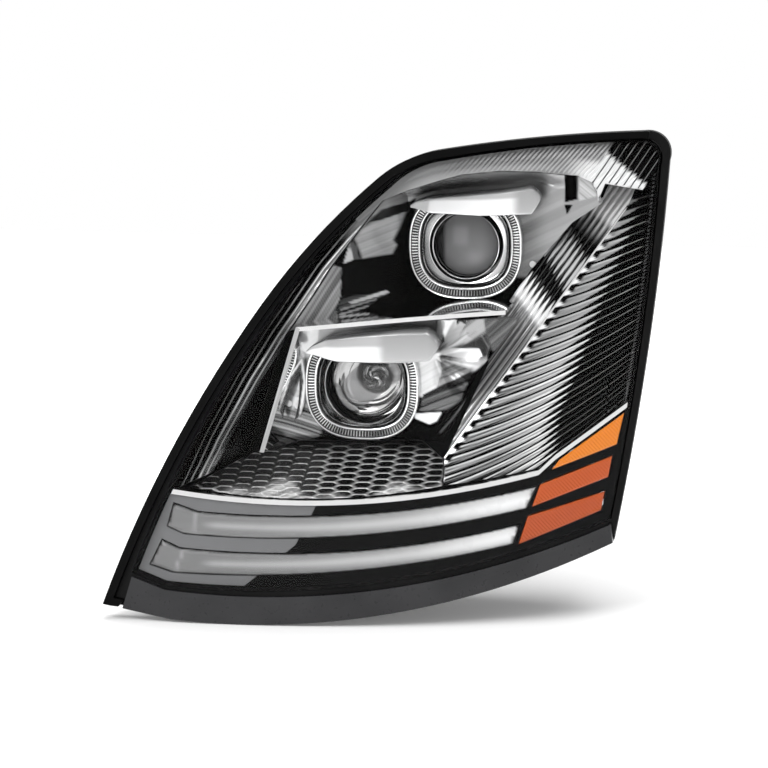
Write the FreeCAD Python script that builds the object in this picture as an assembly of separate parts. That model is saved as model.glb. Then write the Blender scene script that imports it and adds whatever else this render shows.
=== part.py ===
"""Headlight assembly for a heavy road truck, left-hand side, one STEP file per sub-part.

Millimetres. +X points to the outboard end, +Y to the rear of the vehicle, +Z up.
Everything is drawn from a datum at the middle of the lamp's foot, and moved at the end so that the
origin is the centre of the two upper mounting holes, on the plane that bolts to the hood.
"""
import FreeCAD
import Part
import math
import os

V = FreeCAD.Vector

# ---- the curved front: y grows with height (rake), with the sweep to the outboard end, and with a crown
SPAN_X = (-300.0, 300.0)
SPAN_Z = (-20.0, 520.0)
FRONT_RAKE = 0.28
FRONT_CROWN = 18.7
FRONT_SWEEP2 = 55.0
FRONT_SWEEP3 = 105.0

# ---- the rear wall of the housing, a second surface of the same kind
REAR_DEPTH = 205.0
REAR_RAKE = 0.20
REAR_SWEEP2 = 25.0

# ---- walls and gaps
LENS_WALL = 3.2
LENS_SKIRT = 15.0
CHANNEL_FLOOR = 18.0
RIM_BACK = 21.0
HOUSING_WALL = 3.0
GAP = 1.0

# ---- mounting
UPPER_MOUNT_X = (-35.0, 190.0)
UPPER_MOUNT_Z = 335.0
UPPER_MOUNT_PLANE = 322.0
LOWER_MOUNT_X = (-120.0, 110.0)
LOWER_MOUNT_Z = 95.0
LOWER_MOUNT_PLANE = 262.0
INSERT_BORE = 3.4
INSERT_R = 5.5
INSERT_LENGTH = 16.0
BOSS_R = 10.0
PEG_R = 4.0
PEG_LENGTH = 14.0
PEGS = ((-165.0, 150.0, 246.0), (225.0, 300.0, 300.0))
ORIGIN = V(sum(UPPER_MOUNT_X) / 2, UPPER_MOUNT_PLANE, UPPER_MOUNT_Z)

# ---- the two lamps: axis position, and the plane of the light ring
LOW_BEAM = {"x": 65.0, "z": 369.0, "y": 235.0}
HIGH_BEAM = {"x": -32.0, "z": 225.0, "y": 155.0}
RING_HALF = (62.0, 58.0)
RING_HOLE_HALF = (48.0, 44.0)
RING_CORNER = 44.0
RING_DEPTH = 9.0
CAN_R = 52.0
CAN_END = 145.0
POCKET_BACK = 77.0
PIVOT_Y = 43.0
PIVOT_REACH = 58.0
PIN_R = 3.0
LEVER = 75.0
BULB_SEAT = 100.0
SHIELD_R = 12.0
SHIELD_SIDES = 12
CLIP_WIRE = 0.9
CLIP_LEG = 0.7
STUD_R = 3.5
BALL_R = 5.0
KNOB_R = 13.0
CAP_LUGS = 3

# ---- what stands on the rear wall; a seat is how far its pad stands off the wall
TURN_BULB = (203.0, 163.0)
MARKER_BULB = (172.0, 104.0)
HOLDER_SEAT = 6.0
HOLDER_BORE = 14.0
PLUG_AT = (172.0, 232.0)
PLUG_SEAT = 5.0
VENTS = ((-150.0, 190.0), (165.0, 410.0))
VENT_BORE = 3.0
DRIVER_AT = (-8.0, 95.0)
DRIVER_PLANE = 246.0
DRIVER_SCREW_DX = 36.5
DRIVER_SCREW_DZ = 21.0

# ---- screws of the lamp plates: lamp, x, z
PLATE_SCREWS = (
    (LOW_BEAM, -30.0, 330.0), (LOW_BEAM, 138.0, 350.0), (HIGH_BEAM, -104.0, 200.0), (HIGH_BEAM, 78.0, 262.0),
)
PLATE_SCREW_R = 1.8


def front_y(x, z):
    """Depth of the lens' outer face."""
    t = (x - SPAN_X[0]) / (SPAN_X[1] - SPAN_X[0])
    w = (z - SPAN_Z[0]) / (SPAN_Z[1] - SPAN_Z[0])
    return FRONT_RAKE * z + FRONT_CROWN * (2 * w - 1) ** 2 + FRONT_SWEEP2 * t**2 + FRONT_SWEEP3 * t**3


def rear_y(x, z):
    """Depth of the housing's rear wall, outside."""
    t = (x - SPAN_X[0]) / (SPAN_X[1] - SPAN_X[0])
    return REAR_DEPTH + REAR_RAKE * z + REAR_SWEEP2 * t**2


# ---------------------------------------------------------------- shape helpers
def sheet(depth, rake, crown, sweep2, sweep3, tilt=(0.0, 0.0), about=(0.0, 0.0)):
    """A Bezier face y = depth + rake z + crown + sweeps + tilt . ((x, z) - about)."""
    surface = Part.BezierSurface()
    surface.increase(3, 2)
    squares = (0.0, 0.0, sweep2 / 3, sweep2)
    cubes = (0.0, 0.0, 0.0, sweep3)
    for i in range(4):
        x = SPAN_X[0] + i * (SPAN_X[1] - SPAN_X[0]) / 3
        for j in range(3):
            z = SPAN_Z[0] + j * (SPAN_Z[1] - SPAN_Z[0]) / 2
            y = depth + rake * z + crown * (1, -1, 1)[j] + squares[i] + cubes[i]
            y += tilt[0] * (x - about[0]) + tilt[1] * (z - about[1])
            surface.setPole(i + 1, j + 1, V(x, y, z))
    return surface.toShape()


def front_sheet(depth=0.0, tilt=(0.0, 0.0), about=(0.0, 0.0)):
    return sheet(depth, FRONT_RAKE, FRONT_CROWN, FRONT_SWEEP2, FRONT_SWEEP3, tilt, about)


def rear_sheet(depth=0.0):
    return sheet(REAR_DEPTH + depth, REAR_RAKE, 0.0, REAR_SWEEP2, 0.0)


def outline(start, *steps):
    """A closed face in the XZ plane. A step is a corner, or four numbers for an arc through the first two."""
    edges, here = [], V(start[0], 0, start[1])
    for step in steps + (start,):
        there = V(step[-2], 0, step[-1])
        if (there - here).Length < 1e-6:
            continue
        if len(step) == 4:
            edges.append(Part.Arc(here, V(step[0], 0, step[1]), there).toShape())
        else:
            edges.append(Part.makeLine(here, there))
        here = there
    return Part.Face(Part.Wire(edges))


def inset(shape, distance):
    """The face moved inward by a distance, or outward where it is negative."""
    return shape.Faces[0].makeOffset2D(-distance, 2 if distance > 0 else 0)


def prism(face, y0, y1):
    moved = face.copy()
    moved.translate(V(0, y0, 0))
    return moved.extrude(V(0, y1 - y0, 0))


def between(face, near_sheet, thickness):
    """The part of a prism that lies from a sheet to a distance behind it."""
    return prism(face, -60, 460).common(near_sheet.extrude(V(0, thickness, 0)))


def slab(face, near, far):
    """A panel that follows the lens, from one depth behind its outer face to another."""
    return between(face, front_sheet(near), far - near)


def disc(x, z, radius, y0, y1):
    return Part.makeCylinder(radius, y1 - y0, V(x, y0, z), V(0, 1, 0))


def tube(x, z, outer, inner, y0, y1):
    return disc(x, z, outer, y0, y1).cut(disc(x, z, inner, y0 - 1, y1 + 1))


def block(x0, x1, y0, y1, z0, z1):
    return Part.makeBox(x1 - x0, y1 - y0, z1 - z0, V(x0, y0, z0))


def sector(x, z, outer, inner, y0, y1, start_deg, sweep_deg):
    """A piece of a ring about the Y axis."""
    ring = Part.makeCylinder(outer, y1 - y0, V(x, y0, z), V(0, 1, 0), sweep_deg)
    ring.rotate(V(x, y0, z), V(0, 1, 0), start_deg)
    return ring.cut(disc(x, z, inner, y0 - 1, y1 + 1))


def fuse(shapes):
    whole = shapes[0]
    for shape in shapes[1:]:
        whole = whole.fuse(shape)
    return whole


def turned(points, x, z):
    """A solid of revolution about the Y axis through (x, z), from (radius, y) points."""
    ring = [V(x + r, y, z) for r, y in points]
    wire = Part.makePolygon(ring + [ring[0]])
    return Part.Face(wire).revolve(V(x, 0, z), V(0, 1, 0), 360)


def rounded(x, z, half_x, half_z, corner):
    """A rounded rectangle face in the XZ plane."""
    k = corner * (1 - math.sqrt(0.5))
    left, right, low, high = x - half_x, x + half_x, z - half_z, z + half_z
    return outline(
        (left + corner, low), (right - corner, low), (right - k, low + k, right, low + corner),
        (right, high - corner), (right - k, high - k, right - corner, high),
        (left + corner, high), (left + k, high - k, left, high - corner),
        (left, low + corner), (left + k, low + k, left + corner, low),
    )


# ---------------------------------------------------------------- outlines, seen from the front
RIM = outline(
    (-279, 9), (-205, -4), (20, 6, 240, 69), (266, 265, 278, 460), (272, 484, 250, 492),
    (150, 488, 47, 476), (13, 466, -13, 449), (-67, 395, -125, 320), (-198, 197, -279, 9),
)
LENS = outline(
    (-249, 42), (-215, 30), (26, 40, 236, 93), (258, 266, 269, 456), (264, 477, 246, 484),
    (150, 480, 50, 467), (20, 458, -4, 440), (-57, 387, -113, 313), (-185, 191, -249, 42),
)
TRIM = outline(
    (-258, 5), (-249, 38), (-213, 26), (68, 40, 237, 88), (240, 69), (20, 6, -205, -4),
)
LIP_LOW = ((-205, 122), (-20, 116, 163, 142), (179, 157), (250, 208))
LIP_WIDTH = 5.0
BAR_UPPER = outline(
    (-216, 89), (-210, 113), (-184, 105), (-10, 106, 161, 130), (152, 108), (-18, 84, -198, 82),
)
BAR_LOWER = outline(
    (-233, 49), (-221, 75), (-201, 67), (-20, 68, 146, 92), (140, 72), (-30, 47, -209, 42),
)
AMBER_UPPER = outline((176, 147), (183, 156.5), (245, 200.5), (239, 169))
AMBER_MIDDLE = outline((158, 110), (165, 132), (235, 157), (232, 136))
AMBER_LOWER = outline((146, 72), (154, 100), (229, 121), (226, 102))
OUTER_STRIPS = (BAR_UPPER, BAR_LOWER, AMBER_UPPER, AMBER_MIDDLE, AMBER_LOWER)


def below_lip(shift):
    """Everything under the chrome lip's lower edge moved up by shift."""
    (x0, z0), (xm, zm, x1, z1), (x2, z2), (x3, z3) = LIP_LOW
    return outline(
        (-320, z0 + shift + 12), (x0, z0 + shift), (xm, zm + shift, x1, z1 + shift), (x2, z2 + shift),
        (x3 + 60, z3 + 43 + shift), (320, -60), (-320, -60),
    )


# ---------------------------------------------------------------- front pieces
def outer_lens():
    skin = slab(LENS, 0, LENS_WALL)
    skirt = slab(LENS.cut(inset(LENS, 2.5)), LENS_WALL - 0.5, LENS_SKIRT)
    return fuse([skin, skirt])


def lens_seal():
    """The bead of sealant under the lens' skirt."""
    return slab(LENS.cut(inset(LENS, 3.5)), LENS_SKIRT, CHANNEL_FLOOR)


def edge_seal():
    """Rubber strip on the rim's inboard and top sides, against the hood."""
    side = outline((-330, 11), (-330, 540), (262, 540), (252, 440), (0, 380), (-150, 160), (-262, 7))
    band = RIM.cut(inset(RIM, 8.5)).cut(inset(LENS, -GAP)).common(side)
    return slab(band, -3, 8)


def lower_trim():
    return slab(TRIM, -1, 12)


def chrome_lip():
    strip = below_lip(LIP_WIDTH).cut(below_lip(0)).common(inset(LENS, 4))
    return slab(strip, 8, 13)


def drl_bezel():
    """Gloss black surround of the light bars and the amber lenses."""
    panel = below_lip(-GAP).common(inset(LENS, 3))
    for strip in OUTER_STRIPS:
        panel = panel.cut(inset(strip, -0.8))
    return slab(panel, 11, 15)


def light_bar(strip):
    return slab(strip.common(inset(LENS, 9)), 8, 24)


def amber_lens(strip):
    return slab(strip.common(inset(LENS, 4)), 8, 12)


def amber_chamber():
    """Reflector tray behind the amber lenses, open at the front, with holes for the two bulbs."""
    face = outline((140, 62), (150, 100), (168, 146), (182, 163), (238, 199), (230, 70))
    face = face.common(inset(LENS, 9))
    tray = prism(face, 60, 230).common(front_sheet(17).extrude(V(0, 60, 0)))
    hollow = prism(inset(face, 2), 40, 230).common(front_sheet(10).extrude(V(0, 64, 0)))
    tray = tray.cut(hollow)
    for x, z in (TURN_BULB, MARKER_BULB):
        tray = tray.cut(disc(x, z, 15, 60, 300))
    return tray


# ---------------------------------------------------------------- bezels inside the lens
LIP_TOP = LIP_WIDTH + GAP
FLOOR = outline(
    (-203, 129), (-148, 153), (-98, 165), (30, 165), (58, 150), (64, 129), (64, 100), (-203, 100),
)
LOWER_PLATE = outline((-92, 290), (-121, 167), (58, 167), (98, 250), (94, 282), (120, 302))
UPPER_PLATE = outline((-76, 307), (-22, 402), (10, 430), (146, 438), (150, 332), (122, 307))
RIDGE = ((64, 157), (236, 412))
OUTBOARD_FACET = outline(
    (66, 128), RIDGE[0], RIDGE[1], (247, 436), (290, 470), (300, 240), (179, 163), (163, 150),
)
INNER_FACET = outline(RIDGE[0], (101, 250), (97, 282), (124, 303), (152, 330), (168, 412), RIDGE[1])
INBOARD = outline(
    (-290, 132), (-206, 129), (-151, 155), (-124, 168), (-95, 291), (-79, 308), (-25, 404), (-30, 470),
    (-290, 470),
)
CROWN_PANEL = outline(
    (-24, 406), (8, 433), (148, 441), (170, 415), (233, 414), (244, 438), (300, 480), (200, 540), (-60, 520),
)


def honeycomb_floor():
    """Sloped floor between the lip and the lower lamp."""
    face = FLOOR.cut(below_lip(LIP_TOP))
    return between(face, front_sheet(9, (0, 1.75), (0, 118)), 6)


def outboard_bezel():
    """Reflector panel that falls away from a ridge to both sides."""
    ridge = (RIDGE[1][0] - RIDGE[0][0], RIDGE[1][1] - RIDGE[0][1])
    length = math.hypot(*ridge)
    across = (ridge[1] / length, -ridge[0] / length)
    room = inset(LENS, 9.5)
    right = OUTBOARD_FACET.common(room).cut(below_lip(LIP_TOP))
    outer = between(right, front_sheet(36, (-0.18 * across[0], -0.18 * across[1]), RIDGE[0]), 4)
    inner = between(INNER_FACET, front_sheet(36, (-0.75 * across[0], -0.75 * across[1]), RIDGE[0]), 4)
    return fuse([outer, inner])


def inboard_bezel():
    """Black side panel along the inboard edge."""
    face = INBOARD.common(inset(LENS, 9))
    return between(face, front_sheet(20, (0.42, -0.26), (-249, 42)), 3)


def upper_bezel():
    """Panel that closes the space above the upper lamp."""
    face = CROWN_PANEL.common(inset(LENS, 9))
    return between(face, front_sheet(8, (0, -0.45), (0, 484)), 3)


def lamp_plate(face, lamp):
    """A flat plate with the lamp's opening, behind its light ring."""
    plate = prism(face, lamp["y"] + RING_DEPTH + 0.5, lamp["y"] + RING_DEPTH + 3.5)
    hole = rounded(lamp["x"], lamp["z"], RING_HOLE_HALF[0], RING_HOLE_HALF[1], RING_CORNER - 14)
    return plate.cut(prism(hole, 0, 400))


def lower_bezel():
    """Chrome surround of the lower lamp: its plate, a roof over it and an inboard cheek."""
    plate = lamp_plate(LOWER_PLATE, HIGH_BEAM)
    roof = outline((-92, 287), (-92, 290), (120, 302), (120, 299))
    cheek = outline((-92, 290), (-89, 287), (-118, 167), (-121, 167))
    back = HIGH_BEAM["y"] + RING_DEPTH + 3.5
    walls = []
    for wall in (roof, cheek):
        walls.append(prism(wall, 20, back).cut(front_sheet(-200).extrude(V(0, 216, 0))))
    return fuse([plate] + walls)


def upper_plate():
    return lamp_plate(UPPER_PLATE, LOW_BEAM)


def brow(lamp, left, right, drop, rise, depth):
    """Eyelid over a lamp: a visor that stands forward of the light ring and covers its top."""
    x, z, y = lamp["x"], lamp["z"], lamp["y"]
    face = outline(
        (x + left, z + drop), (x + left + 14, z + drop + rise), (x + right - 8, z + drop + rise + 8),
        (x + right, z + drop + rise), (x + right, z + drop + 4), (x, z + drop - 3, x + left, z + drop),
    )
    return prism(face, y - depth, y - 1).cut(prism(inset(face, 3), y - depth + 4, y))


def light_ring(lamp):
    """Clear ring that glows around the lamp, a rounded square with a stepped section."""
    x, z, y = lamp["x"], lamp["z"], lamp["y"]
    outer = prism(rounded(x, z, *RING_HALF, RING_CORNER), y, y + RING_DEPTH)
    hole = prism(rounded(x, z, *RING_HOLE_HALF, RING_CORNER - 14), y - 1, y + RING_DEPTH + 1)
    step = prism(rounded(x, z, RING_HALF[0] - 3, RING_HALF[1] - 3, RING_CORNER - 3), y - 1, y + 3)
    return outer.cut(step).cut(hole)


def ring_trim(lamp):
    """Bright liner inside the light ring, from its face back to the lens."""
    x, z, y = lamp["x"], lamp["z"], lamp["y"]
    wide = rounded(x, z, RING_HOLE_HALF[0] - 0.6, RING_HOLE_HALF[1] - 0.6, RING_CORNER - 14.6)
    liner = prism(wide, y + 1, y + 16).cut(prism(inset(wide, 2), y, y + 14))
    return liner.cut(disc(x, z, 43, y, y + 20))


# ---------------------------------------------------------------- lamp modules, which tilt for aim
def carrier(lamp, bore):
    """Frame that holds the lamp, with two pivot ears and a lever for the aim screw."""
    x, z, y = lamp["x"], lamp["z"], lamp["y"] + PIVOT_Y
    body = [disc(x, z, 49, y - 4, y + 4)]
    for side in (-1, 1):
        ear = block(min(x, x + side * 55), max(x, x + side * 55), y - 4, y + 4, z - 7, z + 7)
        body.append(ear)
    body.append(block(x - 8, x + 8, y - 4, y + 4, z - LEVER - 9, z))
    frame = fuse(body)
    frame = frame.cut(disc(x, z, bore, y - 10, y + 10))
    for side in (-1, 1):
        socket = Part.makeCylinder(PIN_R + 0.1, 14, V(x + side * (PIVOT_REACH - 13), y, z), V(side, 0, 0))
        frame = frame.cut(socket)
    ball = Part.makeSphere(BALL_R + 0.5, V(x, y, z - LEVER))
    return frame.cut(ball)


def pivot_pins(lamp):
    """Two steel pins in the housing's posts; the lamp swings on them."""
    x, z, y = lamp["x"], lamp["z"], lamp["y"] + PIVOT_Y
    return Part.makeCompound([
        Part.makeCylinder(PIN_R, 18, V(x + side * (PIVOT_REACH - 9), y, z), V(side, 0, 0)) for side in (-1, 1)
    ])


def aim_stud(lamp):
    """Ball stud that pushes the lever, threaded through the aim gear."""
    x, z, y = lamp["x"], lamp["z"] - LEVER, lamp["y"] + PIVOT_Y
    ball = Part.makeSphere(BALL_R, V(x, y, z))
    shaft = disc(x, z, STUD_R, y, aim_seat(lamp) + 20)
    return fuse([ball, shaft])


def aim_seat(lamp):
    """Depth of the outside of the rear wall where the aim screw comes through."""
    at = rear_y(lamp["x"], lamp["z"] - LEVER)
    return max(at, lamp["y"] + POCKET_BACK) + 3.0


def aim_gear(lamp):
    """Toothed knob that a driver turns from behind."""
    x, z, y = lamp["x"], lamp["z"] - LEVER, aim_seat(lamp) + 0.5
    knob = disc(x, z, KNOB_R, y, y + 9)
    collar = disc(x, z, 7, y + 9, y + 16)
    body = fuse([knob, collar])
    notch = KNOB_R + 0.5
    for i in range(12):
        a = 2 * math.pi * i / 12
        body = body.cut(disc(x + notch * math.cos(a), z + notch * math.sin(a), 2, y - 1, y + 10))
    return body.cut(disc(x, z, STUD_R + 0.1, y - 1, y + 20))


def projector_lens(lamp):
    """Plano-convex condenser with a clamping flange."""
    x, z, y = lamp["x"], lamp["z"], lamp["y"]
    radius, height = 34.0, 13.0
    sphere = (radius**2 + height**2) / (2 * height)
    dome = Part.makeSphere(sphere, V(x, y + 14 + sphere, z)).common(disc(x, z, radius, y + 13, y + 27))
    return fuse([dome, disc(x, z, 37, y + 27, y + 30)])


def lens_retainer(lamp):
    x, z, y = lamp["x"], lamp["z"], lamp["y"]
    return turned([(34.6, y + 22), (40, y + 19), (41.5, y + 22), (41.5, y + 39), (35, y + 39),
                   (35, y + 30.1), (37.4, y + 30.1), (37.4, y + 26.9), (34.6, y + 26.9)], x, z)


def bowl(lamp, mouth_r, mouth_y, flange_r):
    """Reflector: a cup with a flange that seats on the carrier, and the bulb's seat with its two ears."""
    x, z, y = lamp["x"], lamp["z"], lamp["y"]
    neck_r, neck_y = 8, 92
    steps = 8
    inner = []
    for i in range(steps + 1):
        a = math.pi / 2 * i / steps
        r = neck_r + (mouth_r - neck_r) * math.cos(a)
        inner.append((r, y + mouth_y + (neck_y - mouth_y) * math.sin(a)))
    outer = [(r + 2, d + 2) for r, d in reversed(inner)]
    cup = turned(inner + [(neck_r, y + BULB_SEAT), (neck_r + 3, y + BULB_SEAT)] + outer, x, z)
    flange = tube(x, z, flange_r, mouth_r + 1, y + mouth_y, y + mouth_y + 2)
    plate = block(x - 16.4, x + 16.4, y + BULB_SEAT - 2.5, y + BULB_SEAT, z - 21, z + 14)
    ears = []
    for near in (x - 16.4, x + 13.6):
        ears.append(block(near, near + 2.8, y + BULB_SEAT - 1, y + BULB_SEAT + 6, z - 21, z - 13))
    seat = fuse([plate] + ears)
    seat = seat.cut(disc(x, z, neck_r, y + 80, y + 120))
    pin_hole = Part.makeCylinder(CLIP_WIRE + 0.1, 40, V(x - 20, y + BULB_SEAT + 3.6, z - 17), V(1, 0, 0))
    return fuse([cup, flange, seat]).cut(pin_hole)


def cutoff_shield(lamp):
    """Half plate that cuts the upper part of the beam."""
    x, z, y = lamp["x"], lamp["z"], lamp["y"]
    plate = disc(x, z, 38.9, y + 39.2, y + 40.7)
    low_side = block(x - 45, x + 4, y, y + 60, z - 1, z + 50)
    high_side = block(x, x + 45, y, y + 60, z + 1.5, z + 50)
    return plate.cut(low_side).cut(high_side)


def bulb(lamp, tip_y):
    """Capsule bulb on a metal flange with its plug block."""
    x, z, y = lamp["x"], lamp["z"], lamp["y"]
    seat = y + BULB_SEAT + 0.2
    glass = fuse([disc(x, z, 5.5, y + tip_y + 5.5, seat + 1), Part.makeSphere(5.5, V(x, y + tip_y + 5.5, z))])
    flange = disc(x, z, 13.4, seat, seat + 2)
    plug = block(x - 9, x + 9, seat + 1.5, seat + 12.8, z - 5, z + 5)
    return fuse([glass, flange, plug])


def bulb_clip(lamp):
    """Wire bail that swings on two ears below the bulb and holds its flange down."""
    x, z, y = lamp["x"], lamp["z"], lamp["y"] + BULB_SEAT + 3.6
    legs = [Part.makeCylinder(CLIP_LEG, 26, V(x + side * 11.4, y, z - 17), V(0, 0, 1)) for side in (-1, 1)]
    hinge = Part.makeCylinder(CLIP_WIRE, 32, V(x - 16, y, z - 17), V(1, 0, 0))
    bar = Part.makeCylinder(CLIP_WIRE, 24.8, V(x - 12.4, y, z + 9), V(1, 0, 0))
    return fuse(legs + [hinge, bar])


def beam_lens(lamp):
    """Thin clear cover over the high beam's reflector."""
    x, z, y = lamp["x"], lamp["z"], lamp["y"]
    sphere = 110.0
    outer = Part.makeSphere(sphere, V(x, y + 18 + sphere, z))
    inner = Part.makeSphere(sphere - 2, V(x, y + 18 + sphere, z))
    dome = outer.cut(inner).common(disc(x, z, 41, y + 10, y + 40))
    skirt = tube(x, z, 41, 39, y + 26.5, y + 37)
    return fuse([dome, skirt])


def bulb_shield(lamp):
    """Faceted cap over the bulb's tip, on three legs from the bottom of the bowl."""
    x, z, y = lamp["x"], lamp["z"], lamp["y"]
    corners = [2 * math.pi * i / SHIELD_SIDES for i in range(SHIELD_SIDES)]
    face = outline(*[(x + SHIELD_R * math.cos(a), z + SHIELD_R * math.sin(a)) for a in corners])
    cap = prism(face, y + 56, y + 78).cut(disc(x, z, 7, y + 59, y + 80))
    legs = []
    for i in range(3):
        a = 2 * math.pi * i / 3
        legs.append(disc(x + 10 * math.cos(a), z + 10 * math.sin(a), 1, y + 77, y + 91.6))
    return fuse([cap] + legs)


# ---------------------------------------------------------------- rear pieces
def dust_cap(lamp):
    """Bayonet cap of a lamp can: a disc, a skirt with three hooks and a grip bar."""
    x, z, end = lamp["x"], lamp["z"], lamp["y"] + CAN_END
    parts = [
        disc(x, z, CAN_R + 7, end + 2.5, end + 6),
        tube(x, z, CAN_R + 7, CAN_R + 4, end - 12, end + 3),
        block(x - 34, x + 34, end + 5, end + 18, z - 5, z + 5),
    ]
    for i in range(CAP_LUGS):
        parts.append(sector(x, z, CAN_R + 5, CAN_R + 0.6, end - 12, end - 8.4, 360 / CAP_LUGS * i, 40))
    rib_at = CAN_R + 7
    for i in range(24):
        a = 2 * math.pi * i / 24
        parts.append(disc(x + rib_at * math.cos(a), z + rib_at * math.sin(a), 1.5, end - 8, end + 4))
    return fuse(parts)


def cap_gasket(lamp):
    x, z, end = lamp["x"], lamp["z"], lamp["y"] + CAN_END
    return tube(x, z, CAN_R + 1, CAN_R - 4, end + 0.3, end + 2.5)


def bulb_socket(at):
    """Quarter-turn holder of a signal bulb."""
    x, z = at
    y = rear_y(x, z) + HOLDER_SEAT
    return fuse([
        disc(x, z, 19, y + 0.3, y + 5.5),
        disc(x, z, HOLDER_BORE - 0.5, y - 19, y + 1),
        tube(x, z, 12, 9, y + 5, y + 18),
        block(x - 2, x + 2, y + 5, y + 11, z - 17, z + 17).cut(disc(x, z, 10, y, y + 30)),
    ])


def signal_bulb(at):
    x, z = at
    y = rear_y(x, z) + HOLDER_SEAT - 19
    return fuse([disc(x, z, 9, y - 20, y), Part.makeSphere(9, V(x, y - 20, z))])


def led_driver():
    """Finned control box for the light bars and rings."""
    (x, z), y = DRIVER_AT, DRIVER_PLANE
    box = [block(x - 42, x + 42, y, y + 16, z - 26, z + 26)]
    for i in range(9):
        at = x - 38 + i * 9.1
        box.append(block(at, at + 2.5, y + 15, y + 26, z - 24, z + 24))
    box = fuse(box)
    for x, z in driver_corners():
        box = box.cut(disc(x, z, 2.2, y - 1, y + 40)).cut(disc(x, z, 4.4, y + 12, y + 40))
    return box


def driver_corners():
    """(x, z) of the control box's four screws."""
    x, z = DRIVER_AT
    return [(x + i * DRIVER_SCREW_DX, z + k * DRIVER_SCREW_DZ) for i in (-1, 1) for k in (-1, 1)]


def driver_screws():
    return Part.makeCompound([screw(x, DRIVER_PLANE + 12, z) for x, z in driver_corners()])


def screw(x, y, z, shank=1.98, head=4.0, length=18.0):
    """Pan-head screw whose head sits on the plane y, driven from behind."""
    body = fuse([disc(x, z, head, y, y + 2.6), disc(x, z, shank, y - length, y)])
    for half_x, half_z in ((0.5, 2.6), (2.6, 0.5)):
        body = body.cut(block(x - half_x, x + half_x, y + 1.4, y + 4, z - half_z, z + half_z))
    return body


def power_connector():
    """Shrouded header for the vehicle's harness, with six blades."""
    x, z = PLUG_AT
    y = rear_y(x, z) + PLUG_SEAT
    shroud = block(x - 21, x + 21, y, y + 24, z - 11, z + 11)
    shroud = shroud.cut(block(x - 18.5, x + 18.5, y + 3, y + 30, z - 8.5, z + 8.5))
    blades = [block(x + dx - 1.4, x + dx + 1.4, y + 2, y + 16, z + dz - 0.4, z + dz + 0.4)
              for dx in (-12, 0, 12) for dz in (-4, 4)]
    return fuse([shroud] + blades)


def breather_vents():
    caps = []
    for x, z in VENTS:
        y = rear_y(x, z)
        stem = disc(x, z, VENT_BORE - 0.2, y - 4, y + 2)
        caps.append(fuse([stem, disc(x, z, 5, y + 1.2, y + 10), disc(x, z, 9, y + 9, y + 17)]))
    return Part.makeCompound(caps)


def mounts():
    """(x, z, plane) of the four bosses."""
    return ([(x, UPPER_MOUNT_Z, UPPER_MOUNT_PLANE) for x in UPPER_MOUNT_X]
            + [(x, LOWER_MOUNT_Z, LOWER_MOUNT_PLANE) for x in LOWER_MOUNT_X])


def mounting_inserts():
    inserts = [tube(x, z, INSERT_R, INSERT_BORE, y - INSERT_LENGTH, y) for x, z, y in mounts()]
    return Part.makeCompound(inserts)


def bezel_screws():
    """Screws that hold the lamp plates on the housing's posts."""
    return Part.makeCompound([
        plate_screw(x, z, lamp["y"] + RING_DEPTH + 0.5) for lamp, x, z in PLATE_SCREWS
    ])


def plate_screw(x, z, y):
    return fuse([disc(x, z, 3.6, y - 2.2, y), disc(x, z, PLATE_SCREW_R - 0.02, y, y + 14)])


def led_board():
    """Circuit board behind the light bars with one emitter per bar end."""
    face = outline((-196, 50), (-186, 100), (-10, 100, 140, 120), (132, 68), (-20, 50, -190, 46))
    board = slab(face.common(inset(LENS, 10)), 28, 30)
    chips = []
    for i in range(12):
        x = -176 + i * 26.0
        for height in (56, 94):
            z = height + 0.0006 * max(x + 50, 0) ** 2
            y = front_y(x, z)
            chips.append(block(x - 2.5, x + 2.5, y + 26.4, y + 29, z - 2.5, z + 2.5))
    return fuse([board] + chips)


# ---------------------------------------------------------------- housing
def lamp_can(lamp, outer, inner, y0):
    x, z = lamp["x"], lamp["z"]
    return disc(x, z, outer, y0, lamp["y"] + CAN_END), disc(x, z, inner, y0 - 5, lamp["y"] + CAN_END + 5)


def housing():
    wall_face = inset(LENS, 5)
    room_face = inset(LENS, 5 + HOUSING_WALL)
    frame = slab(RIM.cut(inset(LENS, -GAP)), 2, RIM_BACK)
    frame = frame.cut(slab(inset(TRIM, -0.6), -20, 12.3)).cut(slab(RIM.cut(inset(RIM, 9)), -20, 8.3))
    shelf = slab(inset(LENS, -GAP - 0.5).cut(inset(LENS, 8)), CHANNEL_FLOOR, RIM_BACK)
    block_out = prism(wall_face, -60, 460).cut(front_sheet(-400).extrude(V(0, 400 + RIM_BACK - 1, 0)))
    solid = [block_out.cut(rear_sheet().extrude(V(0, 500, 0)))]
    hollow = [prism(room_face, -60, 460).cut(rear_sheet(-HOUSING_WALL).extrude(V(0, 500, 0)))]
    # chamber behind the upper lamp, and a can behind each lamp
    x, z, y = LOW_BEAM["x"], LOW_BEAM["z"], LOW_BEAM["y"]
    chamber = rounded(x, z - 16, 74, 79, 20)
    solid.append(prism(chamber, 240, y + POCKET_BACK))
    hollow.append(prism(inset(chamber, HOUSING_WALL), 200, y + POCKET_BACK - HOUSING_WALL))
    for lamp in (LOW_BEAM, HIGH_BEAM):
        out, core = lamp_can(lamp, CAN_R, CAN_R - HOUSING_WALL, 225)
        solid.append(out)
        hollow.append(core)
    shell = fuse([frame, shelf] + solid)
    for core in hollow:
        shell = shell.cut(core)
    return shell.cut(front_sheet(-400).extrude(V(0, 400 + 1.5, 0)))


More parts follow.
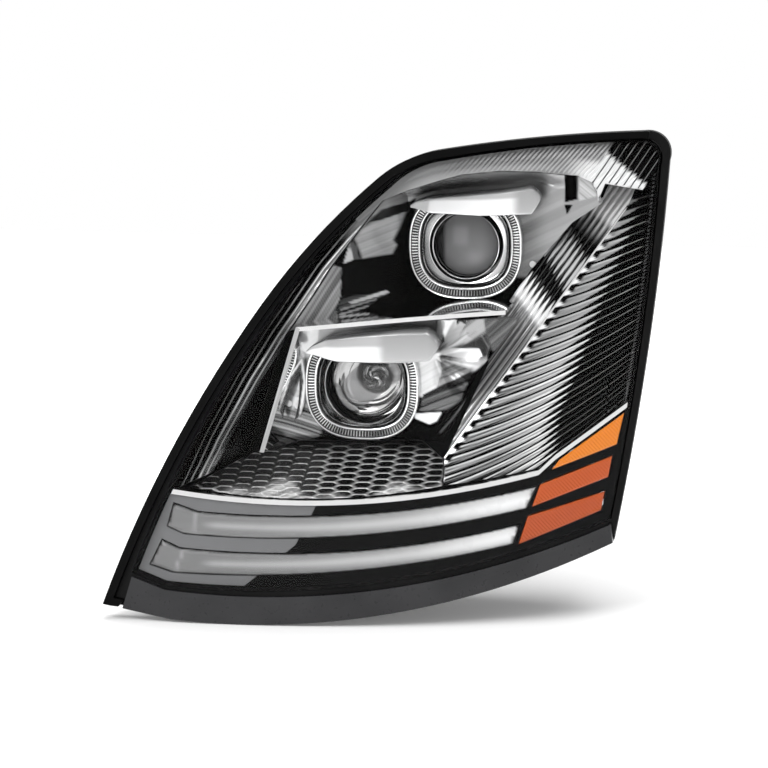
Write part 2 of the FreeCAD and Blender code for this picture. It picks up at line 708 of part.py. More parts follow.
def housing_details(shell):
    """Adds what stands inside and behind the shell, then drills it."""
    added = []
    for x, z, y in mounts():
        added.append(disc(x, z, BOSS_R, rear_y(x, z) - HOUSING_WALL, y))
    for x, z, y in PEGS:
        added.append(disc(x, z, 8, rear_y(x, z) - 2, y))
        added.append(disc(x, z, PEG_R, y - 1, y + PEG_LENGTH))
    for x, z in driver_corners():
        added.append(disc(x, z, 5, rear_y(x, z) - 2, DRIVER_PLANE))
    x, z = PLUG_AT
    added.append(block(x - 24, x + 24, rear_y(x, z) - 6, rear_y(x, z) + PLUG_SEAT, z - 14, z + 14))
    for x, z in (TURN_BULB, MARKER_BULB):
        added.append(disc(x, z, 20, rear_y(x, z) - 5, rear_y(x, z) + HOLDER_SEAT))
    for lamp in (LOW_BEAM, HIGH_BEAM):
        x, z, y = lamp["x"], lamp["z"], lamp["y"] + PIVOT_Y
        back = lamp["y"] + POCKET_BACK if lamp is LOW_BEAM else rear_y(x, z)
        for side in (-1, 1):
            near, far = sorted((x + side * (PIVOT_REACH - 0.5), x + side * (PIVOT_REACH + 9)))
            added.append(block(near, far, y - 7, back - 1, z - 7, z + 7))
        seat = aim_seat(lamp)
        added.append(disc(x, z - LEVER, 9, seat - 12, seat))
        end = lamp["y"] + CAN_END
        for i in range(CAP_LUGS):
            added.append(sector(x, z, CAN_R + 3.4, CAN_R - 1, end - 8, end - 5, 360 / CAP_LUGS * i, 40))
    for lamp, x, z in PLATE_SCREWS:
        plate = lamp["y"] + RING_DEPTH + 3.6
        back = lamp["y"] + POCKET_BACK if lamp is LOW_BEAM and abs(x - lamp["x"]) < 74 else rear_y(x, z)
        added.append(disc(x, z, 5, plate, back - 1))
    shell = fuse([shell] + added)
    for x, z, y in mounts():
        shell = shell.cut(disc(x, z, INSERT_R, y - INSERT_LENGTH, y + 5))
    for at in (TURN_BULB, MARKER_BULB):
        shell = shell.cut(disc(at[0], at[1], HOLDER_BORE, 200, 400))
    for lamp in (LOW_BEAM, HIGH_BEAM):
        x, z, y = lamp["x"], lamp["z"], lamp["y"] + PIVOT_Y
        for side in (-1, 1):
            hole = Part.makeCylinder(PIN_R, 10, V(x + side * (PIVOT_REACH - 1), y, z), V(side, 0, 0))
            shell = shell.cut(hole)
        shell = shell.cut(disc(x, z - LEVER, STUD_R + 0.6, lamp["y"], 500))
    for lamp, x, z in PLATE_SCREWS:
        shell = shell.cut(disc(x, z, PLATE_SCREW_R, lamp["y"], lamp["y"] + RING_DEPTH + 15))
    for x, z in driver_corners():
        shell = shell.cut(disc(x, z, 2.0, DRIVER_PLANE - 6.1, DRIVER_PLANE + 10))
    for x, z in VENTS:
        shell = shell.cut(disc(x, z, VENT_BORE, 180, 400))
    return shell


def build():
    low, high = LOW_BEAM, HIGH_BEAM
    plate_holes = Part.makeCompound([disc(x, z, 2.0, 100, 300) for _, x, z in PLATE_SCREWS])
    parts = {
        "rear_housing": housing_details(housing()),
        "outer_lens": outer_lens(),
        "lens_seal": lens_seal(),
        "edge_seal": edge_seal(),
        "lower_trim": lower_trim(),
        "chrome_lip": chrome_lip(),
        "drl_bezel": drl_bezel(),
        "drl_bar_upper": light_bar(BAR_UPPER),
        "drl_bar_lower": light_bar(BAR_LOWER),
        "drl_led_board": led_board(),
        "amber_lens_upper": amber_lens(AMBER_UPPER),
        "amber_lens_middle": amber_lens(AMBER_MIDDLE),
        "amber_lens_lower": amber_lens(AMBER_LOWER),
        "amber_chamber": amber_chamber(),
        "honeycomb_floor": honeycomb_floor(),
        "outboard_bezel": outboard_bezel(),
        "inboard_bezel": inboard_bezel(),
        "upper_bezel": upper_bezel(),
        "upper_plate": upper_plate().cut(plate_holes),
        "lower_bezel": lower_bezel().cut(plate_holes),
        "upper_brow": brow(low, -57, 84, 42, 18, 22),
        "lower_brow": brow(high, -53, 92, 42, 14, 26),
        "low_beam_carrier": carrier(low, 39),
        "low_beam_lens": projector_lens(low),
        "low_beam_retainer": lens_retainer(low),
        "low_beam_reflector": bowl(low, 38, 47, 44),
        "low_beam_shield": cutoff_shield(low),
        "low_beam_bulb": bulb(low, 72),
        "low_beam_clip": bulb_clip(low),
        "high_beam_carrier": carrier(high, 43),
        "high_beam_lens": beam_lens(high),
        "high_beam_reflector": bowl(high, 40, 37, 46),
        "high_beam_bulb": bulb(high, 62),
        "high_beam_bulb_shield": bulb_shield(high),
        "high_beam_clip": bulb_clip(high),
        "led_driver": led_driver(),
        "driver_screws": driver_screws(),
        "power_connector": power_connector(),
        "breather_vents": breather_vents(),
        "mounting_inserts": mounting_inserts(),
        "bezel_screws": bezel_screws(),
        "turn_signal_socket": bulb_socket(TURN_BULB),
        "turn_signal_bulb": signal_bulb(TURN_BULB),
        "marker_socket": bulb_socket(MARKER_BULB),
        "marker_bulb": signal_bulb(MARKER_BULB),
    }
    for name, lamp in (("low_beam", low), ("high_beam", high)):
        where = "upper" if lamp is low else "lower"
        parts[where + "_light_ring"] = light_ring(lamp)
        parts[where + "_ring_trim"] = ring_trim(lamp)
        parts[name + "_pivot_pins"] = pivot_pins(lamp)
        parts[name + "_aim_stud"] = aim_stud(lamp)
        parts[name + "_aim_gear"] = aim_gear(lamp)
        parts[name + "_dust_cap"] = dust_cap(lamp)
        parts[name + "_cap_gasket"] = cap_gasket(lamp)
    return parts


def main():
    os.makedirs("parts", exist_ok=True)
    for old in os.listdir("parts"):
        os.remove(os.path.join("parts", old))
    for name, shape in build().items():
        shape.translate(ORIGIN * -1)
        solids = shape.Solids
        print(f"{name:24s} solids {len(solids):2d} valid {shape.isValid()} {shape.Volume / 1000:9.2f} cm3")
        shape.exportStep(f"parts/{name}.step")


main()
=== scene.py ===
"""Looks of the left-hand truck headlight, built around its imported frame.

Shapes are worked out in millimetres from the lamp's foot datum, the one that the CAD draws from, and
set down in metres in the row's frame. x runs to the outboard end, y to the rear, z up.
"""

import math

import bpy
import numpy as np
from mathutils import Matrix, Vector, geometry

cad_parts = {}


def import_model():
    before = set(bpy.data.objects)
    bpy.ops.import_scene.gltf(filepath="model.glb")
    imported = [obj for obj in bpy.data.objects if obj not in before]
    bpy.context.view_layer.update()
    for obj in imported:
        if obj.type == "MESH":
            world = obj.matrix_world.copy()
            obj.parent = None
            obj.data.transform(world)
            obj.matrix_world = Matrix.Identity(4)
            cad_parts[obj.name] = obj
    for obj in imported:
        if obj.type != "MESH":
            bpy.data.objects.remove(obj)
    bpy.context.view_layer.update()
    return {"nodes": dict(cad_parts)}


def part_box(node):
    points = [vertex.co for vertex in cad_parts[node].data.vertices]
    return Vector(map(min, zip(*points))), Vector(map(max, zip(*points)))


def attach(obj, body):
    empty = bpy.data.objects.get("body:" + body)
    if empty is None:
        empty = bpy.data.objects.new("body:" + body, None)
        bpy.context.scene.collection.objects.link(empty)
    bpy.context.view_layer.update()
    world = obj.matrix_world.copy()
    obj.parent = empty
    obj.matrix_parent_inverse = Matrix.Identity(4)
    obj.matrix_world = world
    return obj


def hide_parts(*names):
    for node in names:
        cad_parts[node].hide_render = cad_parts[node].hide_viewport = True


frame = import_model()

MM = 0.001
DATUM = Vector((-0.0775, -0.322, -0.335))
NODES = frame["nodes"]


def lamp_place(glass, ring):
    """Axis (x, z) of a lamp and the depth y of its light ring, in millimetres from the foot datum."""
    low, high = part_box(glass)
    middle = ((low + high) / 2 - DATUM) / MM
    return {"x": middle.x, "z": middle.z, "y": (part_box(ring)[0].y - DATUM.y) / MM}


LOW = lamp_place("low_beam_lens", "upper_light_ring")
HIGH = lamp_place("high_beam_lens", "lower_light_ring")

# ---- the curved front, as the CAD has it: y grows with the height and towards the outboard end
SPAN_X = (-300.0, 300.0)
SPAN_Z = (-20.0, 520.0)
RAKE, CROWN, SWEEP2, SWEEP3 = 0.28, 18.7, 55.0, 105.0

# ---- driving sizes of the pieces
COVER, SKIRT = 3.2, 11.0
PANEL = 3
RIM_BACK = 11
BAR_THICK, BAR_HEIGHT = 15, 23.0
AMBER_THICK, AMBER_PITCH = 4, 3.8
GUIDE_BACK = 8
LIP_HEIGHT = 5.0
RING_HALF = (62.0, 58.0)
RING_DEPTH = 9.0
RING_WIDTH = 14.6
RIDGE = ((64.0, 157.0), (236.0, 412.0))
RIDGE_BACK = 36
OUTBOARD_FLUTE, RIDGE_FLUTE, CROWN_FLUTE = 11.4, 6.4, 5.0
CLIMB, CLIMB_BEND = 0.27, 0.0013
CROWN_LEVEL, CROWN_SLOPE = 440, 0.82
DARKEST = 0.008


def front_y(x, z):
    """Depth of the lens' outer face at a place seen from the front."""
    t = (x - SPAN_X[0]) / (SPAN_X[1] - SPAN_X[0])
    w = (z - SPAN_Z[0]) / (SPAN_Z[1] - SPAN_Z[0])
    return RAKE * z + CROWN * (2 * w - 1) ** 2 + SWEEP2 * t**2 + SWEEP3 * t**3


# ---- tones and profiles
def smooth(t):
    """A soft step from 0 to 1."""
    t = np.clip(t, 0, 1)
    return t * t * (3 - 2 * t)


def bell(value, width):
    """1 at 0, falling off on both sides over the width."""
    return np.exp(-(value / width) ** 2)


def bulge(phase):
    """Round crest of a flute: 0 on its borders, 1 along its middle."""
    return 1 - (2 * (phase % 1) - 1) ** 2


def band(value, low, high, soft=0.04):
    """1 where value is between low and high, with soft ends."""
    return smooth((value - low) / soft + 0.5) * smooth((high - value) / soft + 0.5)


def over(value, tone, cover):
    """A tone laid over the value, as far as cover says."""
    return value * (1 - cover) + tone * cover


def streaks(x, z, seed, pitch, slope):
    """Uneven light and dark lines along a slope, from -1 to 1."""
    phase = (z - slope * x) / pitch
    waves = ((6.283, 1.0), (2.7, 1.3), (11.9, 2.1))
    return sum(np.sin(phase * rate + shift * seed) for rate, shift in waves) / 3


def height_at(line, x):
    """Height of a line of points at x."""
    return np.interp(x, [p[0] for p in line], [p[1] for p in line])


def reach_at(line, z):
    """x of a line of points at a height."""
    return np.interp(z, [p[1] for p in line], [p[0] for p in line])


# ---- flat outlines
def arc(a, b, c, step=4.0):
    """Points of the arc from a through b to c, without its last point."""
    (ax, az), (bx, bz), (cx, cz) = a, b, c
    d = 2 * (ax * (bz - cz) + bx * (cz - az) + cx * (az - bz))
    ux = ((ax**2 + az**2) * (bz - cz) + (bx**2 + bz**2) * (cz - az) + (cx**2 + cz**2) * (az - bz)) / d
    uz = ((ax**2 + az**2) * (cx - bx) + (bx**2 + bz**2) * (ax - cx) + (cx**2 + cz**2) * (bx - ax)) / d
    r = math.hypot(ax - ux, az - uz)
    first, last = math.atan2(az - uz, ax - ux), math.atan2(cz - uz, cx - ux)
    turn = 1 if d > 0 else -1
    sweep = (turn * (last - first)) % (2 * math.pi)
    count = max(2, int(r * sweep / step))
    angles = [first + turn * sweep * i / count for i in range(count)]
    return [(ux + r * math.cos(t), uz + r * math.sin(t)) for t in angles]


def outline(start, *steps, step=4.0):
    """A closed loop: each step is a corner, or (x, z, x, z) for an arc through the first to the second."""
    loop, here = [], start
    for target in steps + (start,):
        there = tuple(target[-2:])
        if math.dist(here, there) < 1e-6:
            continue
        if len(target) == 4:
            loop += arc(here, target[:2], there, step)
        else:
            count = max(1, int(math.dist(here, there) / step))
            loop += [(here[0] + (there[0] - here[0]) * i / count, here[1] + (there[1] - here[1]) * i / count)
                     for i in range(count)]
        here = there
    return np.array(loop)


def shrink(loop, distance):
    """The loop moved inward, corners kept sharp."""
    back = loop - np.roll(loop, 1, axis=0)
    ahead = np.roll(loop, -1, axis=0) - loop
    n0 = np.stack([-back[:, 1], back[:, 0]], 1) / np.linalg.norm(back, axis=1)[:, None]
    n1 = np.stack([-ahead[:, 1], ahead[:, 0]], 1) / np.linalg.norm(ahead, axis=1)[:, None]
    area = np.sum(loop[:, 0] * np.roll(loop[:, 1], -1) - loop[:, 1] * np.roll(loop[:, 0], -1))
    mid = n0 + n1
    mid /= np.sum(mid * mid, axis=1)[:, None] / 2
    return loop + mid * distance * np.sign(area)


def inside(loop, points):
    """True for the points inside the loop."""
    x, z = points[:, 0], points[:, 1]
    hits = np.zeros(len(points), int)
    for (ax, az), (bx, bz) in zip(loop, np.roll(loop, -1, axis=0)):
        if az == bz:
            continue
        crosses = (az > z) != (bz > z)
        hits += crosses & (x < (bx - ax) * (z - az) / (bz - az) + ax)
    return hits % 2 == 1


def within(loops, holes, points):
    """True for the points inside every loop and outside every hole."""
    tests = [inside(loop, points) for loop in loops] + [~inside(hole, points) for hole in holes]
    return np.all(tests, axis=0)


def line_distance(starts, ends, points):
    """Distance of each point from the nearest of the straight runs between starts and ends."""
    best = np.full(len(points), 1e9)
    for a, b in zip(starts, ends):
        ab = b - a
        t = np.clip(((points - a) @ ab) / max(ab @ ab, 1e-12), 0, 1)
        best = np.minimum(best, np.linalg.norm(points - (a + t[:, None] * ab), axis=1))
    return best


def edge_distance(loop, points):
    """Distance of each point from the loop."""
    return line_distance(loop, np.roll(loop, -1, axis=0), points)


def from_edge(loop, x, z):
    return edge_distance(loop, np.stack([x, z], 1))


LENS = outline(
    (-249, 42), (-215, 30), (26, 40, 236, 93), (258, 266, 269, 456), (264, 477, 246, 484),
    (150, 480, 50, 467), (20, 458, -4, 440), (-57, 387, -113, 313), (-185, 191, -249, 42),
)
BAR_FEET = {"upper": ((-198, 82), (-18, 84), (152, 108)), "lower": ((-209, 42), (-30, 47), (140, 72))}
BAR_TOPS = {
    "upper": ((-216, 89), (-210, 113), (-184, 105), (-10, 106, 161, 130)),
    "lower": ((-233, 49), (-221, 75), (-201, 67), (-20, 68, 146, 92)),
}
BARS = {which: outline(*BAR_TOPS[which], foot[2], foot[1] + foot[0]) for which, foot in BAR_FEET.items()}
AMBERS = {
    "upper": outline((176, 147), (183, 156.5), (245, 200.5), (239, 169)),
    "middle": outline((158, 110), (165, 132), (235, 157), (232, 136)),
    "lower": outline((146, 72), (154, 100), (229, 121), (226, 102)),
}
LIP_TOP = LIP_HEIGHT + 1
ABOVE_LIP = outline(
    (-320, 134 + LIP_TOP), (-205, 122 + LIP_TOP), (-20, 116 + LIP_TOP, 163, 142 + LIP_TOP),
    (179, 157 + LIP_TOP), (250, 208 + LIP_TOP), (310, 251 + LIP_TOP), (310, 540), (-320, 540),
)


# ---- mesh building
def make(name, points, faces, material, slot, node=None, body="root", sharp=35, tint=None):
    """A piece from points in millimetres. It rides on a body and can stand for a CAD node."""
    mesh = bpy.data.meshes.new(name)
    placed = np.asarray(points, float) * MM + np.array(DATUM)
    mesh.from_pydata(placed.tolist(), [], [list(f) for f in faces])
    mesh.materials.append(material)
    mesh.validate()
    # per-point painted light, shade and reflections, which the materials take as colour
    if tint is not None:
        layer = mesh.attributes.new("tint", "FLOAT", "POINT")
        layer.data.foreach_set("value", np.asarray(tint, np.float32))
    mesh.shade_smooth()
    mesh.set_sharp_from_angle(angle=math.radians(sharp))
    piece = bpy.data.objects.new(name, mesh)
    bpy.context.scene.collection.objects.link(piece)
    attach(piece, body)
    if node:
        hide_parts(node)


def lattice(loop, across, up):
    """A grid of points over the loop's box and some way past it."""
    low, high = loop.min(0), loop.max(0)
    reach = np.linalg.norm(high - low) / 2
    x, z = np.meshgrid(np.arange(-reach, reach, across), np.arange(-reach, reach, up))
    return (low + high) / 2 + np.stack([x.ravel(), z.ravel()], 1)


def fill(loops, holes, grid, clear, warp):
    """Triangles over the space inside every loop and outside every hole, joined up in the warped plane."""
    forward, inverse = warp
    borders = [*loops, *holes]
    grid = grid[within(loops, holes, grid)]
    for border in borders:
        grid = grid[edge_distance(border, grid) > clear]
    points, edges = [], []
    for border in borders:
        first = len(points)
        points += [Vector(p) for p in forward(border).tolist()]
        edges += [(first + i, first + (i + 1) % len(border)) for i in range(len(border))]
    points += [Vector(p) for p in forward(grid).tolist()]
    found, _, faces, *_ = geometry.delaunay_2d_cdt(points, edges, [], 0, 1e-5)
    flat = inverse(np.array([(p.x, p.y) for p in found]))
    faces = np.array(faces)
    faces = faces[within(loops, holes, flat[faces].mean(1))]
    used = np.unique(faces)
    index = np.full(len(flat), -1)
    index[used] = np.arange(len(used))
    return flat[used], index[faces]


def stretched(k):
    """A warp that draws heights out by k."""
    return (lambda p: p * (1, k)), (lambda p: p / (1, k))


def sheared(slope, level):
    """A warp that stands lines of a slope (sideways per height) upright."""
    def move(p, turn):
        return np.stack([p[:, 0] - turn * slope * (p[:, 1] - level), p[:, 1]], 1)
    return (lambda p: move(p, 1)), (lambda p: move(p, -1))


def rim_edges(faces):
    """Edges with a triangle on one side only, in the direction of that triangle."""
    seen = dict.fromkeys(edge for a, b, c in faces.tolist() for edge in ((a, b), (b, c), (c, a)))
    return [(a, b) for a, b in seen if (b, a) not in seen]


def panel(name, loops, depth, thickness, material, grid, holes=(), clear=1.5, warp=stretched(1.0), tint=None,
          **kw):
    """A closed plate: depth(x, z, d) is the y of its face, d the distance from its rim."""
    flat, faces = fill(loops, holes, grid, clear, warp)
    rims = rim_edges(faces)
    d = np.min([edge_distance(border, flat) for border in (*loops, *holes)], axis=0)
    d[[a for a, _ in rims]] = 0
    x, z = flat[:, 0], flat[:, 1]
    y = depth(x, z, d)
    n = len(flat)
    points = np.concatenate([np.stack([x, y, z], 1), np.stack([x, y + thickness, z], 1)])
    sides = [tuple(f) for f in faces] + [tuple(int(i) + n for i in f[::-1]) for f in faces]
    sides += [(b, a, a + n, b + n) for a, b in rims]
    shade = None if tint is None else np.tile(tint(x, z), 2)
    make(name, points, sides, material, tint=shade, **kw)


def skin(rows, closed=False):
    """Points and quads through rows of points, capped at both ends, or closed from the last to the first."""
    count, size = len(rows[0]), len(rows) * len(rows[0])
    points = [p for row in rows for p in row]
    faces = []
    for i in range(len(rows) if closed else len(rows) - 1):
        for j in range(count):
            k = (j + 1) % count
            quad = (i * count + j, i * count + k, (i + 1) * count + k, (i + 1) * count + j)
            faces.append(tuple(v % size for v in quad))
    if not closed:
        faces += [tuple(reversed(range(count))), tuple(range(size - count, size))]
    return points, faces


SEGMENTS = 96


def lathe(name, profile, x, z, material, **kw):
    """A solid of revolution about the Y axis, from a closed ring of (radius, y)."""
    points, faces, index = [], [], {}

    def key(i, j):
        return j if profile[j][0] < 1e-6 else (i % SEGMENTS, j)

    for i in range(SEGMENTS):
        a = 2 * math.pi * i / SEGMENTS
        for j, (r, y) in enumerate(profile):
            if key(i, j) not in index:
                index[key(i, j)] = len(points)
                points.append((x + r * math.cos(a), y, z + r * math.sin(a)))
    for i in range(SEGMENTS):
        for j in range(len(profile)):
            k = (j + 1) % len(profile)
            quad = [index[key(*corner)] for corner in ((i, j), (i + 1, j), (i + 1, k), (i, k))]
            clean = [v for n, v in enumerate(quad) if v != quad[n - 1]]
            if len(set(clean)) >= 3:
                faces.append(clean)
    make(name, points, faces, material, **kw)


def oval_path(half_x, half_z, count, power=2.55):
    """Evenly spaced points and outward normals of a squarish oval about (0, 0)."""
    t = np.linspace(0, 2 * math.pi, 7201)

    def place(t):
        c, s = np.cos(t), np.sin(t)
        return np.stack([np.sign(c) * np.abs(c) ** (2 / power), np.sign(s) * np.abs(s) ** (2 / power)], 1)
    half = np.array((half_x, half_z))
    run = np.concatenate([[0], np.cumsum(np.linalg.norm(np.diff(place(t) * half, axis=0), axis=1))])
    unit = place(np.interp(np.arange(count) * run[-1] / count, run, t))
    normal = np.sign(unit) * np.abs(unit) ** (power - 1) / half
    normal /= np.linalg.norm(normal, axis=1)[:, None]
    return [(tuple(map(float, p)), tuple(map(float, n))) for p, n in zip(unit * half, normal)]


def lamp_hole(lamp):
    """Opening of a panel for a lamp, a little inside its light ring's outer edge."""
    path = oval_path(RING_HALF[0] - 4, RING_HALF[1] - 4, 60)
    return outline(*[(lamp["x"] + p[0], lamp["z"] + p[1]) for p, _ in path])


# ---- materials
def grey(value):
    return (value, value, value)


def add_node(tree, kind, inputs, **settings):
    """A shader node. Each of its inputs, by name or number, gets a value or the output that feeds it."""
    node = tree.nodes.new("ShaderNode" + kind)
    for key, value in settings.items():
        setattr(node, key, value)
    for key, value in inputs.items():
        if isinstance(value, bpy.types.NodeSocket):
            tree.links.new(value, node.inputs[key])
        else:
            node.inputs[key].default_value = value
    return node


def principled(name, colour, **values):
    mat = bpy.data.materials.new(name)
    mat.use_nodes = True
    shader = mat.node_tree.nodes["Principled BSDF"]
    shader.inputs["Base Color"].default_value = (*colour, 1)
    for key, value in values.items():
        shader.inputs[key.replace("_", " ").title().replace("Ior", "IOR")].default_value = value
    return mat, mat.node_tree, shader


def noise(tree, scale, detail):
    """A noise in object space, in metres."""
    where = add_node(tree, "TexCoord", {}).outputs["Object"]
    return add_node(tree, "TexNoise", {"Vector": where, "Scale": scale, "Detail": detail}).outputs["Fac"]


def spread(tree, source, low, high, start=0.3, end=0.7, **settings):
    """A value that goes from low to high while the source goes from start to end."""
    span = {"Value": source, "From Min": start, "From Max": end, "To Min": low, "To Max": high}
    return add_node(tree, "MapRange", span, **settings).outputs["Result"]


def ramp(tree, source, *stops):
    """Colours by the source's value, from stops of (value, colour)."""
    node = add_node(tree, "ValToRGB", {"Fac": source})
    elements = node.color_ramp.elements
    while len(elements) < len(stops):
        elements.new(0.5)
    for element, (position, colour) in zip(elements, stops):
        element.position = position
        element.color = (*colour, 1)
    return node.outputs["Color"]


def grain(tree, shader, scale, strength, rough):
    """Fine relief, and roughness that wanders."""
    relief = {"Height": noise(tree, scale, 4.0), "Strength": strength, "Distance": 0.0004}
    bump = add_node(tree, "Bump", relief)
    tree.links.new(bump.outputs["Normal"], shader.inputs["Normal"])
    tree.links.new(spread(tree, noise(tree, scale * 0.11, 3.0), *rough), shader.inputs["Roughness"])


def mottle(tree, shader, scale, dark, light):
    """Base colour that wanders between two tones."""
    colour = ramp(tree, noise(tree, scale, 4.0), (0.3, dark), (0.7, light))
    tree.links.new(colour, shader.inputs["Base Color"])


def tinted(tree, shader, dark, light):
    """Base and edge colour from the light, shade and reflections painted on the mesh, dark up to 0.012 and
    light at 1.
    """
    attribute = add_node(tree, "Attribute", {}, attribute_name="tint")
    colour = ramp(tree, attribute.outputs["Fac"], (0.012, dark), (1.0, light))
    for name in ("Base Color", "Specular Tint"):
        tree.links.new(colour, shader.inputs[name])


def plastic(name, dark, light, rough, scale, strength, coat=0.0, shine=0.5):
    mat, tree, shader = principled(name, light, coat_weight=coat, coat_roughness=0.05,
                                   specular_ior_level=shine)
    grain(tree, shader, scale, strength, rough)
    mottle(tree, shader, 18.0, dark, light)
    return mat


def metal(name, dark, light, rough, scale, strength):
    mat, tree, shader = principled(name, light, metallic=1.0)
    grain(tree, shader, scale, strength, rough)
    mottle(tree, shader, 30.0, dark, light)
    return mat


def tinted_metal(name, light, rough, mirror):
    """Plated or painted surface whose colour is the light, shade and reflections painted on the mesh; mirror
    is how metallic it is.
    """
    mat, tree, shader = principled(name, light, metallic=mirror)
    tree.links.new(spread(tree, noise(tree, 60.0, 3.0), *rough), shader.inputs["Roughness"])
    tinted(tree, shader, grey(0.0), light)
    return mat


def tinted_plastic(name, colour, dark, light, rough, scale, strength, **values):
    """Plastic or glass with fine relief whose colour is the light and shade painted on the mesh."""
    mat, tree, shader = principled(name, colour, **values)
    grain(tree, shader, scale, strength, rough)
    tinted(tree, shader, dark, light)
    return mat


def clear_cover(name, alpha):
    """Thin clear plastic or glass: what is behind shows through, and the surface reflects."""
    mat, tree, shader = principled(name, grey(0.95), metallic=1.0, alpha=alpha)
    grain(tree, shader, 40.0, 0.03, (0.01, 0.03))
    return mat


CHROME = metal("bright_chrome", grey(0.90), grey(0.965), (0.04, 0.08), 700.0, 0.01)
# these take their colour from the light, shade and reflections painted on each mesh
SHADED_CHROME = tinted_metal("shaded_chrome", (0.97, 0.975, 0.98), (0.12, 0.2), 1.0)
SATIN = tinted_metal("satin_chrome", (0.97, 0.975, 0.98), (0.16, 0.26), 0.45)
SOFT_SATIN = tinted_metal("soft_satin", grey(0.98), (0.24, 0.34), 0.30)
RING = tinted_metal("ring_guide", (0.98, 0.985, 0.99), (0.16, 0.26), 0.78)
LENS_GLASS = tinted_plastic("projector_glass", (0.13, 0.13, 0.135), grey(0.0), (0.56, 0.56, 0.57),
                            (0.14, 0.22), 40.0, 0.03, alpha=0.86)
FROSTED = tinted_plastic("frosted_guide", grey(0.5), grey(0.0), (0.90, 0.905, 0.91),
                         (0.25, 0.34), 500.0, 0.05, coat_weight=0.3, coat_roughness=0.15)
LENS_CLEAR = clear_cover("clear_lens", 0.005)
GLASS = clear_cover("optic_glass", 0.03)
HOUSING = plastic("housing_black", grey(0.002), grey(0.006), (0.42, 0.58), 1500.0, 0.2, shine=0.12)
RUBBER = plastic("seal_rubber", grey(0.0015), grey(0.004), (0.5, 0.68), 1200.0, 0.1, shine=0.06)
TRIM = plastic("trim_grey", (0.022, 0.022, 0.0235), (0.034, 0.034, 0.036), (0.26, 0.36), 1800.0, 0.06,
               shine=0.3)
STEEL = metal("zinc_steel", (0.42, 0.42, 0.43), grey(0.62), (0.25, 0.4), 500.0, 0.15)
ALUMINIUM = metal("cast_aluminium", (0.38, 0.39, 0.4), (0.56, 0.57, 0.58), (0.38, 0.55), 900.0, 0.5)
BRASS = metal("brass", (0.6, 0.42, 0.16), (0.75, 0.56, 0.25), (0.2, 0.32), 400.0, 0.1)
NYLON = plastic("white_nylon", (0.62, 0.6, 0.55), (0.74, 0.72, 0.67), (0.35, 0.5), 800.0, 0.15)
CONNECTOR = plastic("connector_grey", (0.035, 0.035, 0.037), (0.06, 0.06, 0.063), (0.35, 0.5), 1400.0, 0.25)
CAP_BLACK = plastic("cap_black", grey(0.014), grey(0.026), (0.4, 0.55), 1300.0, 0.3)
BOARD = plastic("board_green", (0.01, 0.08, 0.035), (0.02, 0.13, 0.06), (0.3, 0.45), 600.0, 0.1)
AMBER_GLASS = plastic("amber_bulb", (0.75, 0.2, 0.01), (0.9, 0.32, 0.02), (0.08, 0.15), 300.0, 0.05, coat=1.0)
# one amber plastic in three copies, painted lighter on the upper lens and darker on the two below, as painted
# light
AMBER = {
    which: tinted_plastic(f"amber_{which}", light, dark, light, (0.22, 0.38), 420.0, 0.2,
                          coat_weight=1.0, coat_roughness=0.08, roughness=0.3)
    for which, dark, light in (
        ("upper", (0.50, 0.10, 0.004), (0.86, 0.26, 0.012)),
        ("middle", (0.24, 0.020, 0.002), (0.62, 0.105, 0.006)),
        ("lower", (0.22, 0.018, 0.002), (0.56, 0.09, 0.005)),
    )
}


def bezel_with_painted_reflection():
    """Gloss black with a painted grey reflection at the inboard end, past a slanted border with a kink."""
    mat, tree, shader = principled("bezel_black", grey(0.003), specular_ior_level=0.05)
    grain(tree, shader, 300.0, 0.02, (0.10, 0.16))
    where = add_node(tree, "TexCoord", {}).outputs["Object"]
    kink_x, kink_z = 80, 73.5
    past = []
    for slope in (0.49, 1.2):
        start = (kink_x + slope * kink_z - DATUM.x / MM + slope * DATUM.z / MM) * MM
        reach = add_node(tree, "VectorMath", {0: where, 1: (1, 0, -slope)}, operation="DOT_PRODUCT")
        past.append(add_node(tree, "Math", {0: reach.outputs["Value"], 1: start}).outputs["Value"])
    most = add_node(tree, "Math", {0: past[0], 1: past[1]}, operation="MAXIMUM").outputs["Value"]
    # painted grey reflection at the inboard end, gloss black beyond the border
    colour = ramp(tree, spread(tree, most, 0.0, 1.0, -0.0006, 0.0006),
                  (0.0, (0.17, 0.172, 0.176)), (1.0, grey(0.002)))
    tree.links.new(colour, shader.inputs["Base Color"])
    return mat


BEZEL = bezel_with_painted_reflection()


# ---- the front
def outer_lens():
    """Clear cover, and the skirt that runs back from its rim."""
    panel("outer_lens_cover", [LENS], lambda x, z, d: front_y(x, z), COVER, LENS_CLEAR,
          grid=lattice(LENS, 8, 8), clear=4, node="outer_lens", slot="clear_lens")
    panel("outer_lens_skirt", [LENS], lambda x, z, d: front_y(x, z) + (COVER + 0.4), SKIRT, LENS_CLEAR,
          grid=lattice(LENS, 30, 30), holes=[shrink(LENS, 2.5)], slot="clear_lens")


